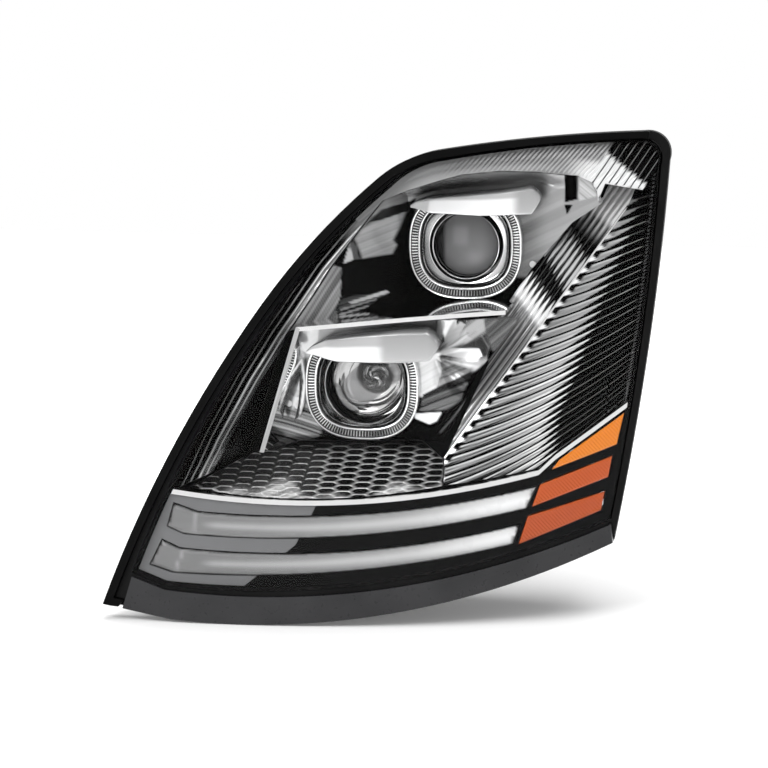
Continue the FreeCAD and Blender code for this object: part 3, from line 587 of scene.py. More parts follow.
def light_bars():
    """Frosted guides with a rounded edge and a kink at the inboard end, with a soft painted highlight along
    them.
    """
    for which, loop in BARS.items():
        foot = arc(*BAR_FEET[which])

        def height(x, z):
            return (z - height_at(foot, x)) / BAR_HEIGHT

        def depth(x, z, d):
            edge = 2.4 * (1 - smooth(d / 4.5))
            return front_y(x, z) + GUIDE_BACK + edge - 0.8 * bell(height(x, z) - 0.5, 0.2)

        def tint(x, z):
            # painted light: lighter outboard and along the foot, a painted highlight along the crest, a
            # painted glint on the kink and painted shade at the rim
            along = smooth((x + 190) / 330)
            crest = bell(height(x, z) - 0.52 + 0.10 * along, 0.14 + 0.12 * along)
            value = 0.22 + 0.12 * along + 0.30 * smooth((x - 20) / 130)
            value = value + crest * smooth((x + 183) / 22) * (0.16 + 0.16 * along)
            value = value + 0.06 * smooth((0.25 - height(x, z)) / 0.2)
            kink = x - reach_at(((-204, 47), (-196, 68), (-187.5, 84), (-185.5, 112)), z)
            value = value + 0.12 * bell(kink, 1.8)
            return value * smooth((from_edge(loop, x, z) - 0.5) / 1.2)
        panel(f"light_bar_{which}", [loop], depth, BAR_THICK, FROSTED, grid=lattice(loop, 4, 1.2), clear=0.6,
              tint=tint, node=f"drl_bar_{which}", slot="frosted_guide")


def ambers():
    """Amber lenses with a field of small pyramids."""
    def prism(x, z):
        a, b = (x + 0.9 * z) / AMBER_PITCH, (x - 0.9 * z) / AMBER_PITCH
        return np.abs(a % 1 - 0.5) + np.abs(b % 1 - 0.5)

    def depth(x, z, d):
        edge = 0.9 * (1 - smooth(d / 1.6))
        return front_y(x, z) + GUIDE_BACK + edge + 0.7 * prism(x, z) * smooth(d / 2)
    for which, loop in AMBERS.items():
        # the pyramids are painted lighter towards their edges, as painted highlights on their facets
        panel(f"amber_{which}", [loop], depth, AMBER_THICK, AMBER[which],
              grid=lattice(loop, 0.95, 0.95), clear=0.5, tint=lambda x, z: 0.25 + 0.75 * prism(x, z),
              node=f"amber_lens_{which}", slot="amber_plastic", sharp=20)


# ---- panels behind the lens
ACROSS = np.array([RIDGE[1][1] - RIDGE[0][1], -(RIDGE[1][0] - RIDGE[0][0])])
ACROSS = ACROSS / np.linalg.norm(ACROSS)
ALONG = np.array([-ACROSS[1], ACROSS[0]])
# where the fingers of painted reflection on the outboard facet end
FINGERTIPS = ((172, 150), (174, 184), (173, 195), (179, 215), (188, 240), (198, 271), (207, 298), (211, 316),
              (222, 347), (231, 372), (241, 403))


def right_of_ridge(x, z):
    """Distance from the ridge, outboard of it."""
    return (x - RIDGE[0][0]) * ACROSS[0] + (z - RIDGE[0][1]) * ACROSS[1]


def along_ridge(x, z):
    """Distance up the ridge from its foot."""
    return (x - RIDGE[0][0]) * ALONG[0] + (z - RIDGE[0][1]) * ALONG[1]


def ridge_x(z):
    return RIDGE[0][0] + (z - RIDGE[0][1]) * (RIDGE[1][0] - RIDGE[0][0]) / (RIDGE[1][1] - RIDGE[0][1])


def flute_climb(s):
    """How far a flute of the outboard facet has climbed at a distance from the ridge."""
    return CLIMB * s + CLIMB_BEND * np.maximum(s, 0) ** 2


def outboard_flute(x, z):
    """Which flute of the outboard facet a place is on, and how far it is from the ridge."""
    lean = (RIDGE[1][0] - RIDGE[0][0]) / (RIDGE[1][1] - RIDGE[0][1])
    start = z - 0.4 * (x - ridge_x(z))
    for _ in range(12):
        s = x - ridge_x(start)
        rest = start + flute_climb(s) - z
        start = start - rest / (1 - lean * (CLIMB + 2 * CLIMB_BEND * np.maximum(s, 0)))
    return (start - RIDGE[0][1]) / OUTBOARD_FLUTE, x - ridge_x(start)


def along_flutes(p):
    flute, run = outboard_flute(p[:, 0], p[:, 1])
    return np.stack([run, flute * OUTBOARD_FLUTE], 1)


def across_flutes(p):
    start = RIDGE[0][1] + p[:, 1]
    return np.stack([ridge_x(start) + p[:, 0], start + flute_climb(p[:, 0])], 1)


def outboard_panel():
    """Facet outboard of the ridge. Its curved flutes carry painted reflections, as fingers that reach out
    from the ridge.
    """
    room = shrink(LENS, 3.4)
    right = outline((66, 100), RIDGE[0], RIDGE[1], (250, 445), (300, 520), (320, 100))
    steps = 14
    phase, run = np.meshgrid(np.arange(-9 * steps, 27 * steps) / steps, np.arange(1.2, 236, 3.4))
    grid = across_flutes(np.stack([run.ravel(), phase.ravel() * OUTBOARD_FLUTE], 1))

    def depth(x, z, d):
        s = right_of_ridge(x, z)
        flute, run = outboard_flute(x, z)
        knee = 0.12 * smooth((s - 88) / 26) * (s - 88)
        face = front_y(x, z) + RIDGE_BACK - 0.20 * s + knee - 2.2 * bulge(flute) * smooth(run / 9)
        rim = from_edge(room, x, z)
        return np.minimum(face, front_y(x, z) + RIM_BACK + 0.5 * rim + 6 * np.maximum(rim - 5, 0))

    def tint(x, z):
        flute, run = outboard_flute(x, z)
        part = flute % 1
        upward = np.clip((part - 0.08) / 0.76, 0, 1)
        reach = reach_at(FINGERTIPS, z) + 6 - 22 * (1 - upward) ** 1.3
        finger = smooth((reach - x) / 1.5 + 0.5)
        low = smooth((330 - z) / 110)
        # painted reflection of a finger, brighter towards its tip and in the lower half of the facet
        tone = 0.08 + 0.20 * upward + 0.36 * smooth((x - reach + 60) / 62)
        tone = tone + 0.10 * streaks(x, z, 1.0, 7.0, 0.45)
        tone = np.maximum(tone + low * 0.26 * streaks(x, z, 2.0, 5.5, 0.42), 0)
        # the finger's body between painted dark lines of shade, with two thin painted highlights along it
        body = band(part, 0.10, 0.86, 0.06) * tone
        body = body + band(part, 0.72, 0.86, 0.06) * (0.10 + 0.40 * low)
        body = body + band(part, 0.36, 0.44, 0.06) * 0.30 * low
        body = body * (0.70 + 0.30 * low)
        # a painted highlight at the ridge, and faint painted lines past the fingertip
        spot = band(part, 0.30, 0.92 - 0.055 * run, 0.08) * smooth((9.5 - run) / 2)
        inner = body + (spot - body) * (1 - smooth((run - 8) / 3)) * smooth((400 - z) / 40)
        outer = band(part, 0.78, 0.90, 0.06) * (0.15 + 0.08 * np.sin(np.floor(flute) * 2.4))
        value = over(outer, inner, finger)
        # painted shade along the lens' rim, with a thin painted highlight on it
        rim = from_edge(room, x, z)
        value = value * smooth((rim - 3.4) / 1.5) + 0.16 * bell(rim - 3.2, 0.6)
        return np.clip(value, DARKEST, 1)
    panel("outboard_fluted_panel", [right, room, ABOVE_LIP], depth, PANEL, SATIN, grid=grid, clear=0.4,
          warp=(along_flutes, across_flutes), tint=tint, node="outboard_bezel", slot="smoked_chrome")


def ridge_panel():
    """Facet inboard of the ridge. Its straight flutes carry painted reflections, as flames with petals above
    them.
    """
    left = outline(RIDGE[0], (101, 250), (97, 282), (112, 306), (137, 345), (180, 396), (208, 420),
                   (214, 438), (243, 432), RIDGE[1])
    s, u = np.meshgrid(np.arange(0.53, 110, 0.8), np.arange(-20, 330, 3.5))
    x = RIDGE[0][0] - s.ravel() * ACROSS[0] + u.ravel() * ALONG[0]
    z = RIDGE[0][1] - s.ravel() * ACROSS[1] + u.ravel() * ALONG[1]
    upright = ((lambda p: p @ np.stack([ACROSS, ALONG], 1) * (1, 0.3)),
               (lambda p: p / (1, 0.3) @ np.stack([ACROSS, ALONG], 0)))

    def depth(x, z, d):
        s = -right_of_ridge(x, z)
        crest = bulge(s / RIDGE_FLUTE)
        return front_y(x, z) + RIDGE_BACK + 0.75 * np.maximum(s, 0) - 1.6 * crest * smooth((s - 1) / 3)

    def tint(x, z):
        s = -right_of_ridge(x, z)
        u = along_ridge(x, z)
        row = np.floor(s / RIDGE_FLUTE)
        part = (s / RIDGE_FLUTE) % 1
        centre = np.abs(part - 0.5) * 2
        # painted reflections: flames at the foot of the flutes, petals above them, bright lines at the top,
        # and a faint line along each flute's edge
        flame = u - (168 + 1.3 * row)
        spike = smooth((1 - np.clip(flame / 22, 0, 1) - centre) / 0.2 + 0.3) * smooth((flame + 14) / 10)
        lower = (0.30 + 0.35 * streaks(x, z, 0.5, 4.0, 1.5)) * smooth((4 - flame) / 12)
        petal = u - (200 + 2.4 * row)
        leaf = smooth((0.72 - centre - (np.abs(petal - 22) / 26) ** 2 * 0.9) / 0.2) * 0.62
        top = (0.36 + 0.34 * np.cos(part * 6.283)) * smooth((u - 254) / 24)
        white = smooth((u - 276) / 12) * band(part, 0.15, 0.85, 0.15) * 0.9
        line = band(part, 0.0, 0.08, 0.05) * 0.22
        return np.clip(0.01 + np.maximum.reduce([spike, lower, leaf, top + white, line]), DARKEST, 1)
    panel("ridge_fluted_panel", [left], depth, PANEL, SATIN, grid=np.stack([x, z], 1), clear=0.4,
          warp=upright, tint=tint, node="outboard_bezel", slot="smoked_chrome")


def ridge_bead():
    """Bright rounded edge along the ridge."""
    rows = []
    for u in np.linspace(0, 1, 60):
        x, z = np.array(RIDGE[0]) + u * (np.array(RIDGE[1]) - np.array(RIDGE[0]))
        y = float(front_y(x, z)) + RIDGE_BACK
        row = []
        for k in range(8):
            a = 2 * math.pi * k / 8
            off = 1.25 * math.cos(a)
            row.append((x + off * ACROSS[0], y - 1.2 * math.sin(a), z + off * ACROSS[1]))
        rows.append(row)
    points, faces = skin(rows)
    make("ridge_bead", points, faces, CHROME, node="outboard_bezel", slot="smoked_chrome", sharp=60)


CROWN_EDGE = ((-10, 424), (14, 434), (46, 444), (68, 450), (107, 453.5), (144, 452), (171, 448.5), (186, 447),
              (200, 440), (206.5, 430), (208, 420))


def crown_panel():
    """Convex band under the top of the lens, fluted towards its outboard end."""
    room = shrink(LENS, 2.8)
    region = outline(*CROWN_EDGE, (214, 438), (243, 432), (252, 430), (300, 500), (200, 540), (-52, 540),
                     (-52, 418), (-30, 398), (-12, 422))
    s, u = np.meshgrid(np.arange(-330, 330, 0.5), np.arange(-70, 90, 3.0))
    grid = np.stack([s.ravel() + CROWN_SLOPE * u.ravel(), CROWN_LEVEL + u.ravel()], 1)

    def phase_of(x, z):
        return (x - CROWN_SLOPE * (z - CROWN_LEVEL)) / CROWN_FLUTE

    def depth(x, z, d):
        edge = np.maximum(front_y(x, z) + RIM_BACK + 3 * smooth((d - 5) / 9), 0)
        return edge - 0.9 * bulge(phase_of(x, z)) * smooth((x - 20) / 80) * smooth((d - 1) / 4)

    def tint(x, z):
        rim = from_edge(room, x, z)
        part = phase_of(x, z) % 1
        fade = smooth((x - 30) / 130)
        # painted reflections: lighter away from the rim with a bright band, streaky at the inboard end
        tone = 0.28 + 0.10 * smooth((rim - 6) / 10) + 0.10 * bell(rim - 20, 5)
        tone = tone + 0.10 * smooth((10 - x) / 30) * streaks(x, z, 0.7, 9.0, 0.9)
        # painted reflections: fine lines, then the bright end, then the dark corner with its white block
        lined = tone * (1 - fade * 0.28) + fade * 0.24 * band(part, 0.35, 0.75, 0.25)
        end = smooth((x - 168) / 30) * smooth((466 - z - 0.1 * (x - 190)) / 8)
        lined = over(lined, 0.30 + 0.70 * band((part * 0.5 + 0.2) % 1, 0.2, 0.9, 0.2), end)
        corner = smooth((x - 0.55 * (z - 461) - 206) / 5)
        strand = ((x - 0.62 * (z - CROWN_LEVEL)) / 8.4) % 1
        block = smooth((461 - z - 0.83 * (x - 225)) / 2 - 2 * np.abs(strand - 0.55) + 0.5)
        strands = over(0.24 * band(strand, 0.08, 0.20, 0.08), band(strand, 0.14, 0.96, 0.12), block)
        return np.clip(over(lined, strands, corner), DARKEST, 1)
    panel("crown_panel", [region, room], depth, PANEL, SATIN, grid=grid, clear=0.3,
          warp=sheared(CROWN_SLOPE, CROWN_LEVEL), tint=tint, node="upper_bezel", slot="smoked_chrome")


def in_polygon(x, z, *corners, soft=1.0):
    """1 inside a polygon, falling to 0 over a soft border."""
    loop = np.array(corners, float)
    far = from_edge(loop, x, z)
    return smooth(np.where(inside(loop, np.stack([x, z], 1)), far, -far) / soft + 0.5)


def painted(x, z, value, strokes):
    """The tones with strokes over them, each (corners, tone, unevenness, slope of lines, soft border)."""
    for corners, tone, uneven, slope, soft in strokes:
        cover = in_polygon(x, z, *corners, soft=soft)
        lines = streaks(x, z, 0.2, 7.0 * math.hypot(1, slope), slope)
        value = over(value, tone + uneven * lines, cover)
    return value


SURROUND_EDGE = ((-102, 287), (-97, 294), (-77, 326), (-61, 354), (-45, 377), (-30, 398), (-12, 422))


# reflections beside the upper lamp, on the inboard side
UPPER_STROKES = (
    (((-13, 424), (4, 430), (14, 436), (28, 440), (15, 424), (2, 415), (-16, 412), (-26, 402),
      (-41, 384), (-52, 378), (-30, 410)), 0.42, 0.08, 0.35, 1.5),
    (((-40, 383), (-33, 393), (-26, 399), (-1, 405), (-6, 388), (-12, 375), (-9, 369), (-13, 360),
      (-37, 359)), 0.62, 0.14, 0.35, 3.0),
    (((-27, 401), (-16, 412), (3, 415), (2, 405), (-22, 399)), 0.02, 0.0, 0.3, 0.8),
    (((-52, 356), (-45, 377), (-44, 359)), 1.0, 0.0, 0.3, 0.8),
    (((-44, 378), (-41, 380), (-39, 359), (-44, 359)), 0.16, 0.0, 0.3, 0.8),
    (((-101, 289), (-96, 296), (-76, 328), (-60, 356), (-54, 352), (-57, 321), (-62, 305),
      (-50, 292)), 0.40, 0.40, 1.7, 1.2),
    (((-57, 320), (-17, 317), (-30, 308), (-46, 299), (-62, 296)), 0.08, 0.10, 0.3, 1.5),
    (((-51, 312.5), (-19, 320.5), (-16, 317), (-48, 309.5)), 0.85, 0.1, 0.3, 0.8),
    (((-58, 306), (-27, 312.5), (-27, 311), (-58, 303.5)), 0.5, 0.1, 0.3, 0.6),
    (((-60, 300.5), (-34, 306), (-34, 304.5), (-60, 298)), 0.6, 0.1, 0.3, 0.6),
)


def upper_surround():
    """Smoked panel about the upper lamp, rising to the crown band, painted with reflections and shade."""
    region = outline((112, 306), (137, 345), (180, 396), (212, 418), (206.5, 432), (200, 442), (186, 449),
                     (144, 454), (107, 455.5), (68, 452), (46, 446), (14, 436), (-8, 428),
                     *SURROUND_EDGE[::-1])
    plate = LOW["y"] + RING_DEPTH + 1

    def depth(x, z, d):
        crown = height_at(CROWN_EDGE, x)
        foot = height_at(((8, 420), (28, 427), (46, 429), (106, 435), (138, 440), (160, 432)), x)
        rise = smooth((z - foot) / np.maximum(crown - foot, 4))
        face = plate + (front_y(x, crown) + 18 - plate) * rise * smooth((x + 4) / 12)
        start = reach_at(SURROUND_EDGE, z)
        base = front_y(x, z) + 26
        return np.minimum(face, base + (plate - base) * np.clip((x - start) / np.maximum(-start, 1), 0, 1))

    def tint(x, z):
        # painted reflections in uneven grey streaks, lighter outboard, painted shade under the hood, and
        # painted black shade below and beside the lamp
        value = 0.21 + 0.07 * streaks(x, z, 0.7, 30.0, 0.5) + 0.04 * streaks(x, z, 1.9, 9.0, 0.5)
        value = value + 0.20 * smooth((x - 128) / 30) * smooth((z - 345) / 40)
        hood = smooth((z - 420) / 8) * smooth((158 - x) / 12)
        centre = bell(x - 105, 40)
        value = over(value, 0.10 + 0.10 * centre + 0.12 * smooth((z - 434) / 14), hood)
        value = value * (1 - 0.99 * smooth((338 - z) / 5))
        value = over(value, DARKEST, smooth((10 - x) / 3))
        value = painted(x, z, value, UPPER_STROKES)
        # painted shade in the joint under the crown band, then the dark slot painted almost black, and a
        # painted bright reflection outboard of the lamp
        value = value * (1 - 0.9 * bell(z - height_at(CROWN_EDGE, x) + 1.0, 0.8) * smooth((x + 8) / 5))
        slot = np.maximum(in_polygon(x, z, (172, 449), (185, 446), (185, 421), (171, 417)),
                          in_polygon(x, z, (171, 415), (174, 404), (180, 415)))
        value = value * (1 - 0.985 * slot)
        chrome = in_polygon(x, z, (187, 447), (199, 440), (206, 425), (187, 419), soft=2.0)
        value = over(value, 0.55 + 0.2 * streaks(x, z, 1.1, 7.0, -0.8), chrome)
        return np.clip(value, 0.006, 1)
    panel("upper_surround", [region], depth, PANEL, SATIN, grid=lattice(region, 1.4, 1.4),
          holes=[lamp_hole(LOW)], clear=0.7, tint=tint, node="upper_plate", slot="smoked_chrome")


WALL_LINE = ((-205, 96), (-187, 133), (-168, 178), (-137, 239), (-111, 284), (-93, 312), (-67, 354),
             (-45, 382), (-21, 410), (-2, 433), (20, 458))


def inboard_panel():
    """Gloss black wall along the inboard edge, with thin ridges that carry painted bright highlights."""
    room = shrink(LENS, 3.4)
    region = outline((-290, 132), (-206, 129), (-151, 155), (-134, 168), *SURROUND_EDGE[:-1], (-52, 418),
                     (-52, 520), (-290, 520))
    step = 3.0
    loop = outline(*WALL_LINE, step=step)
    fine = loop[: len(loop) - round(math.dist(WALL_LINE[0], WALL_LINE[-1]) / step)]
    tangent = np.gradient(fine, axis=0)
    tangent /= np.linalg.norm(tangent, axis=1)[:, None]
    normal = np.stack([tangent[:, 1], -tangent[:, 0]], 1)

    def offset(x, z):
        """Distance from the wall's brightest painted line, towards the lamps."""
        points = np.stack([x, z], 1)
        best = np.full(len(points), 1e9)
        side = np.zeros(len(points))
        for p, n in zip(fine, normal):
            d = points - p
            r = np.linalg.norm(d, axis=1)
            nearer = r < best
            best = np.where(nearer, r, best)
            side = np.where(nearer, d @ n, side)
        return side

    widths = np.concatenate([np.arange(-20, 12, 0.65), np.arange(12, 90, 4)])
    grid = np.concatenate([fine + normal * w for w in widths])

    def relief(w):
        return (bell(w, 0.95) + 0.75 * bell(w - 5.6, 0.8)
                + 0.35 * bell(w + 6.8, 0.6) + 0.22 * bell(w + 13, 0.5))

    def depth(x, z, d):
        return front_y(x, z) + 12 + 0.5 * np.clip(d - 5, 0, 12) - 1.2 * relief(offset(x, z))

    def tint(x, z):
        # painted highlights along the ridges over faint painted streaky reflections, with a painted grey
        # reflection at the top
        w = offset(x, z)
        upper = smooth((z - 285) / 40)
        streaky_reflection = smooth(w - 1) * (0.03 + 0.16 * upper) * (1 + streaks(x, z, 0.4, 9.0, 1.45))
        top = smooth((z - 378) / 30) * smooth((w + 8) / 4) * 0.30
        line = relief(w) * (0.45 + 0.4 * upper + 0.15 * np.sin(z / 17.0))
        value = DARKEST + np.maximum(line, np.maximum(streaky_reflection * smooth((12 - w) / 3), top))
        return np.clip(value, DARKEST, 1)
    panel("inboard_panel", [region, room], depth, PANEL, SATIN, grid=grid, clear=0.3,
          tint=tint, node="inboard_bezel", slot="gloss_black")


# painted reflections beside and under the lower lamp, and painted light and shade on the petals' faces
LOWER_STROKES = (
    (((-100, 288), (-80, 290), (-84, 258), (-112, 258)), 0.92, 0.06, 0.7, 2.0),
    (((-113, 255), (-106, 251), (-102, 236), (-102, 216), (-116, 224), (-118, 235)),
     1.0, 0.0, 0.5, 2.0),
    (((-124, 212), (-102, 209), (-106, 199), (-122, 200)), 1.0, 0.0, 0.5, 2.0),
    (((-132, 197), (-108, 195), (-90, 201), (-70, 172), (-60, 160), (-134, 145), (-145, 153)),
     0.24, 0.34, -0.30, 2.0),
    (((-75, 186), (-50, 172), (-20, 168), (30, 168), (30, 150), (-85, 150)), 0.02, 0.02, 0.1, 4.0),
    (((24, 266), (51, 266), (55, 244), (48, 224), (31, 214), (24, 220)), 0.80, 0.12, 0.6, 3.0),
    (((52, 260), (79, 257), (89, 246), (60, 231), (49, 225), (54, 244)), 0.34, 0.26, 0.5, 3.0),
    (((33, 217), (89, 248), (87, 240), (60, 225), (34, 213)), 0.03, 0.0, 0.5, 1.0),
    (((32, 212), (85, 236), (76, 215), (60, 202), (29, 199)), 0.13, 0.14, 0.45, 2.5),
    (((25, 196), (54, 199), (48, 189), (40, 185), (24, 191)), 0.95, 0.05, 0.5, 1.5),
    (((54, 298), (70, 301), (72, 292), (65, 280), (57, 276)), 0.95, 0.05, 0.5, 1.5),
    (((75, 299), (82, 297), (74, 284), (59, 274), (49, 266)), 0.85, 0.1, 0.5, 1.2),
    (((58, 271), (82, 289), (94, 290), (72, 273)), 0.50, 0.3, 0.75, 1.2),
    (((49, 262), (65, 270), (97, 272), (101, 264), (86, 260), (57, 261)), 0.95, 0.05, 0.1, 1.5),
    (((53, 258), (76, 256), (92, 256), (86, 250), (67, 254)), 0.75, 0.1, 0.0, 1.2),
    (((101, 300), (134, 303), (134, 296), (112, 266)), 0.16, 0.14, 0.9, 1.5),
)


PETAL_RIM = np.array(((99, 285), (106, 274), (105, 259), (97, 239), (80, 212), (65, 192), (52, 177)), float)


def lower_surround():
    """Plate of the lower lamp, painted with bright reflections, with petals out of the end of its brow."""
    x0 = HIGH["x"]
    region = outline((-92, 290), (-137, 152), (-112, 158), (-80, 167), (58, 167), (98, 250), (110, 265),
                     (134, 300), (124, 304))
    plate = HIGH["y"] + RING_DEPTH + 1
    fan = (44, 258)

    def petal(x, z):
        """Fan of petals out of the brow's end: their crests, and how far out they are."""
        angle = np.arctan2(z - fan[1], x - fan[0])
        return 0.5 + 0.5 * np.cos(angle * 9.0 + 0.6), np.hypot(x - fan[0], z - fan[1])

    def depth(x, z, d):
        crest, far = petal(x, z)
        out = smooth((x - 40) / 20) * smooth((z - 215) / 20)
        face = plate - 20 * smooth((x - 40) / 60) - 6 * crest * out * smooth(far / 25)
        return np.maximum(face - 3 * smooth((x0 - 62 - x) / 30), front_y(x, z) + 12)

    def tint(x, z):
        # painted reflections: bright inboard half and top, the fan of petals, then the strokes, and a thin
        # painted highlight along the petals' rim
        crest, _ = petal(x, z)
        value = np.where(x < x0, 0.60 + 0.25 * streaks(x, z, 0.4, 11.0, 0.7), 0.0)
        value = over(value, 0.62 - 0.50 * smooth((x - x0 + 80) / 120), smooth((z - 268) / 8))
        fanned = 0.05 + 0.55 * smooth(crest * 1.6 - 0.5 + 0.3 * streaks(x, z, 0.3, 5.0, 0.8))
        area = in_polygon(x, z, fan, (50, 300), (100, 303), (106, 274), (105, 259), (88, 244), (52, 240),
                          soft=3.0)
        value = over(value, fanned, area)
        value = painted(x, z, value, LOWER_STROKES)
        near = line_distance(PETAL_RIM[:-1], PETAL_RIM[1:], np.stack([x, z], 1))
        return np.clip(value + 0.16 * bell(near, 0.7), DARKEST, 1)
    panel("lower_surround", [region], depth, PANEL, SATIN, grid=lattice(region, 1.4, 1.4),
          holes=[lamp_hole(HIGH)], clear=0.7, tint=tint, node="lower_bezel", slot="chrome_plating")


def lower_box():
    """Roof, cheek and fin of the lower lamp's box."""
    back = LOW["y"] + RING_DEPTH
    edge = ((-92, 294, 108), (-60, 297, 113), (20, 303.5, 137), (90, 309, 152), (122, 311, 160))
    roof = [[(x, y, z), (x, y, z - 4.5), (x, back, z - 1), (x, back, z + 3)] for x, z, y in edge]
    cheek = [(-92, 108, 294.5), (-87.5, 108, 292), (-117, 68, 167), (-122, 68, 167)]
    rear = [(x, HIGH["y"] + RING_DEPTH + 3, z) for x, _, z in cheek]
    for name, rows in (("lower_roof", roof), ("lower_cheek", [cheek, rear])):
        points, faces = skin(rows)
        make(name, points, faces, CHROME, node="lower_bezel", slot="chrome_plating")
    fin = outline((-105.5, 262), (-97.5, 258), (-93.5, 229, -98.5, 192), (-106, 184),
                  (-99.5, 224, -105.5, 262), step=2.5)

    def tint(x, z):
        # painted light: dark grey with a painted highlight along the fin's outer edge
        outer = reach_at(((-104, 184), (-98.5, 192), (-93.6, 229), (-97.5, 258), (-104, 262)), z)
        return 0.10 + 0.75 * smooth((x - outer + 1.6) / 0.8)
    panel("cheek_fin", [fin], lambda x, z, d: 151 + 1.5 * (1 - smooth(d / 2)), 6, SATIN,
          grid=lattice(fin, 1.0, 1.0), clear=0.4, tint=tint, node="lower_bezel", slot="smoked_chrome")


def honeycomb():
    """Sloped floor of hexagonal pockets."""
    region = outline((-203, 124), (-148, 153), (-98, 165), (30, 165), (58, 150), (64, 129), (64, 100),
                     (-203, 100))
    column, row = 17.8, 4.6
    side = column / 1.5
    climb, level = 1.75, 118

    def local(x, z):
        """Distance from the middle of the nearest hexagon, 1 on its border, and the place inside it."""
        best = np.full(len(x), 1e9)
        bx, bz = np.zeros(len(x)), np.zeros(len(x))
        k0 = np.floor(x / column)
        for k in (k0, k0 + 1):
            shift = np.where(k % 2 == 0, 0.0, 0.5)
            j0 = np.floor(z / row - shift)
            for j in (j0, j0 + 1):
                dx = (x - k * column) / side
                dz = (z - (j + shift) * row) / row * math.sqrt(3)
                slant = np.abs(dx) * math.sqrt(3) / 2 + np.abs(dz) / 2
                r = np.maximum(np.abs(dz), slant) / (math.sqrt(3) / 2)
                closer = r < best
                best = np.where(closer, r, best)
                bx, bz = np.where(closer, dx, bx), np.where(closer, dz, bz)
        return best, bx, bz

    corners = [(math.cos(math.radians(60 * i)), math.sin(math.radians(60 * i))) for i in range(7)]
    middles = [((ax + bx) / 2, (az + bz) / 2) for (ax, az), (bx, bz) in zip(corners, corners[1:])]
    points = []
    for k in range(-13, 6):
        for j in range(20, 38):
            cx, cz = k * column, (j + (0.5 if k % 2 else 0.0)) * row
            points.append((cx, cz))
            for scale in (1.0, 0.86, 0.72, 0.6):
                points += [(cx + scale * side * ux, cz + scale * row / math.sqrt(3) * uz)
                           for ux, uz in corners[:6] + middles]
    grid = np.unique(np.round(np.array(points), 3), axis=0)

    def depth(x, z, d):
        r, _, _ = local(x, z)
        return front_y(x, z) + 9 + climb * (z - level) - 0.7 * smooth((r - 0.72) / 0.14)

    def tint(x, z):
        r, bx, bz = local(x, z)
        # painted light: inboard the pockets show only their lit top edges as dashes, further out their whole
        # walls, lit above and darker below
        zone = smooth((x + 76) / 3)
        wall = smooth((r - 0.75) / 0.11)
        flat_top = smooth((0.60 - np.abs(bx)) / 0.1)
        dash = wall * (bz > 0.35) * flat_top
        mesh = wall * (0.26 + 0.74 * flat_top * (bz > 0.35) - 0.1 * flat_top * (bz < 0))
        # the foot of the floor has a painted reflection of the lip in uneven patches, and the back of it is
        # in painted shadow
        lip_reflection = smooth((129 - z + 6 * np.sin(x / 23.0) + 4 * np.sin(x / 9.0)) / 8) * smooth((x + 165) / 12)
        base = 0.012 + 0.05 * smooth((-40 - x) / 60) * smooth((x + 200) / 40)
        value = base + dash * (1 - zone) + zone * mesh
        value = value * (1 - 0.93 * smooth((z - 152) / 12) * smooth((x + 125) / 15))
        # painted light on the walls in the low inboard corner
        low_left = smooth((130 - z) / 6) * smooth((-150 - x) / 10)
        value = np.maximum(value, low_left * wall * 0.8)
        return np.clip(value + lip_reflection * (0.45 + 0.45 * streaks(x, z, 0.9, 4.0, 0.3)), 0.0, 1)
    panel("honeycomb_floor_cover", [region, ABOVE_LIP], depth, 4, SOFT_SATIN, grid=grid, clear=0.25,
          warp=stretched(side * math.sqrt(3) / row), tint=tint, sharp=20, node="honeycomb_floor",
          slot="chrome_plating")


# ---- lamps
def brow(name, lamp, lower, upper, front, node, white):
    """Eyelid over a lamp, painted with bright reflections, between a lower and an upper edge given relative
    to the lamp's axis.

    white is how far along, and how far up, its whitest painted reflection reaches.
    """
    left, right = lower[0][0], lower[-1][0]
    stations = 64
    levels = [0.05 * k for k in range(17)]
    rows, tint = [], []
    for i in range(stations + 1):
        t = i / stations
        x = left + (right - left) * t
        low, high = float(height_at(lower, x)), float(height_at(upper, x))
        end = math.sqrt(max(0.05, 1 - (max(0, t - 0.93) / 0.07) ** 2))
        mid = (low + high) / 2
        low, high = mid - (mid - low) * end, mid + (high - mid) * end
        reach = front * (0.72 + 0.28 * float(smooth(t / 0.2))) * (0.7 + 0.3 * end)
        tall = high - low
        # lower lip and face, then the rounded top, then the back
        section = [(-reach + 1.6, low), (-reach + 0.4, low + 0.02 * tall)]
        section += [(-reach + 1.2 * v * v, low + tall * (0.04 + v)) for v in levels]
        for k in range(1, 7):
            a = math.pi / 2 * k / 6
            top = low + tall * (0.84 + 0.16 * math.sin(a))
            section.append((-reach + 0.8 + reach * 0.85 * (1 - math.cos(a)), top))
        section += [(-1.0, high), (-1.0, low + 1.8), (-reach + 3.5, low + 0.6)]
        rows.append([(lamp["x"] + x, lamp["y"] + py, lamp["z"] + pz) for py, pz in section])
        # painted reflections: white on the lower face towards the inboard end, grey further out, darker over
        # the top and back
        dull = float(smooth((t - white[0]) / 0.10))
        climb = white[1] * (1 - 0.25 * t)
        brights = [1.0 - 0.45 * float(smooth((v - climb) / 0.12)) for v in levels]
        shades = [over(bright, 0.50 - 0.12 * v, dull) for bright, v in zip(brights, levels)]
        tint += [0.9, 1.0, *shades, 0.42, 0.36, 0.3, 0.26, 0.22, 0.2, 0.2, 0.1, 0.3]
    points, faces = skin(rows)
    make(name, points, faces, SATIN, node=node, slot="chrome_plating", sharp=50, tint=tint)


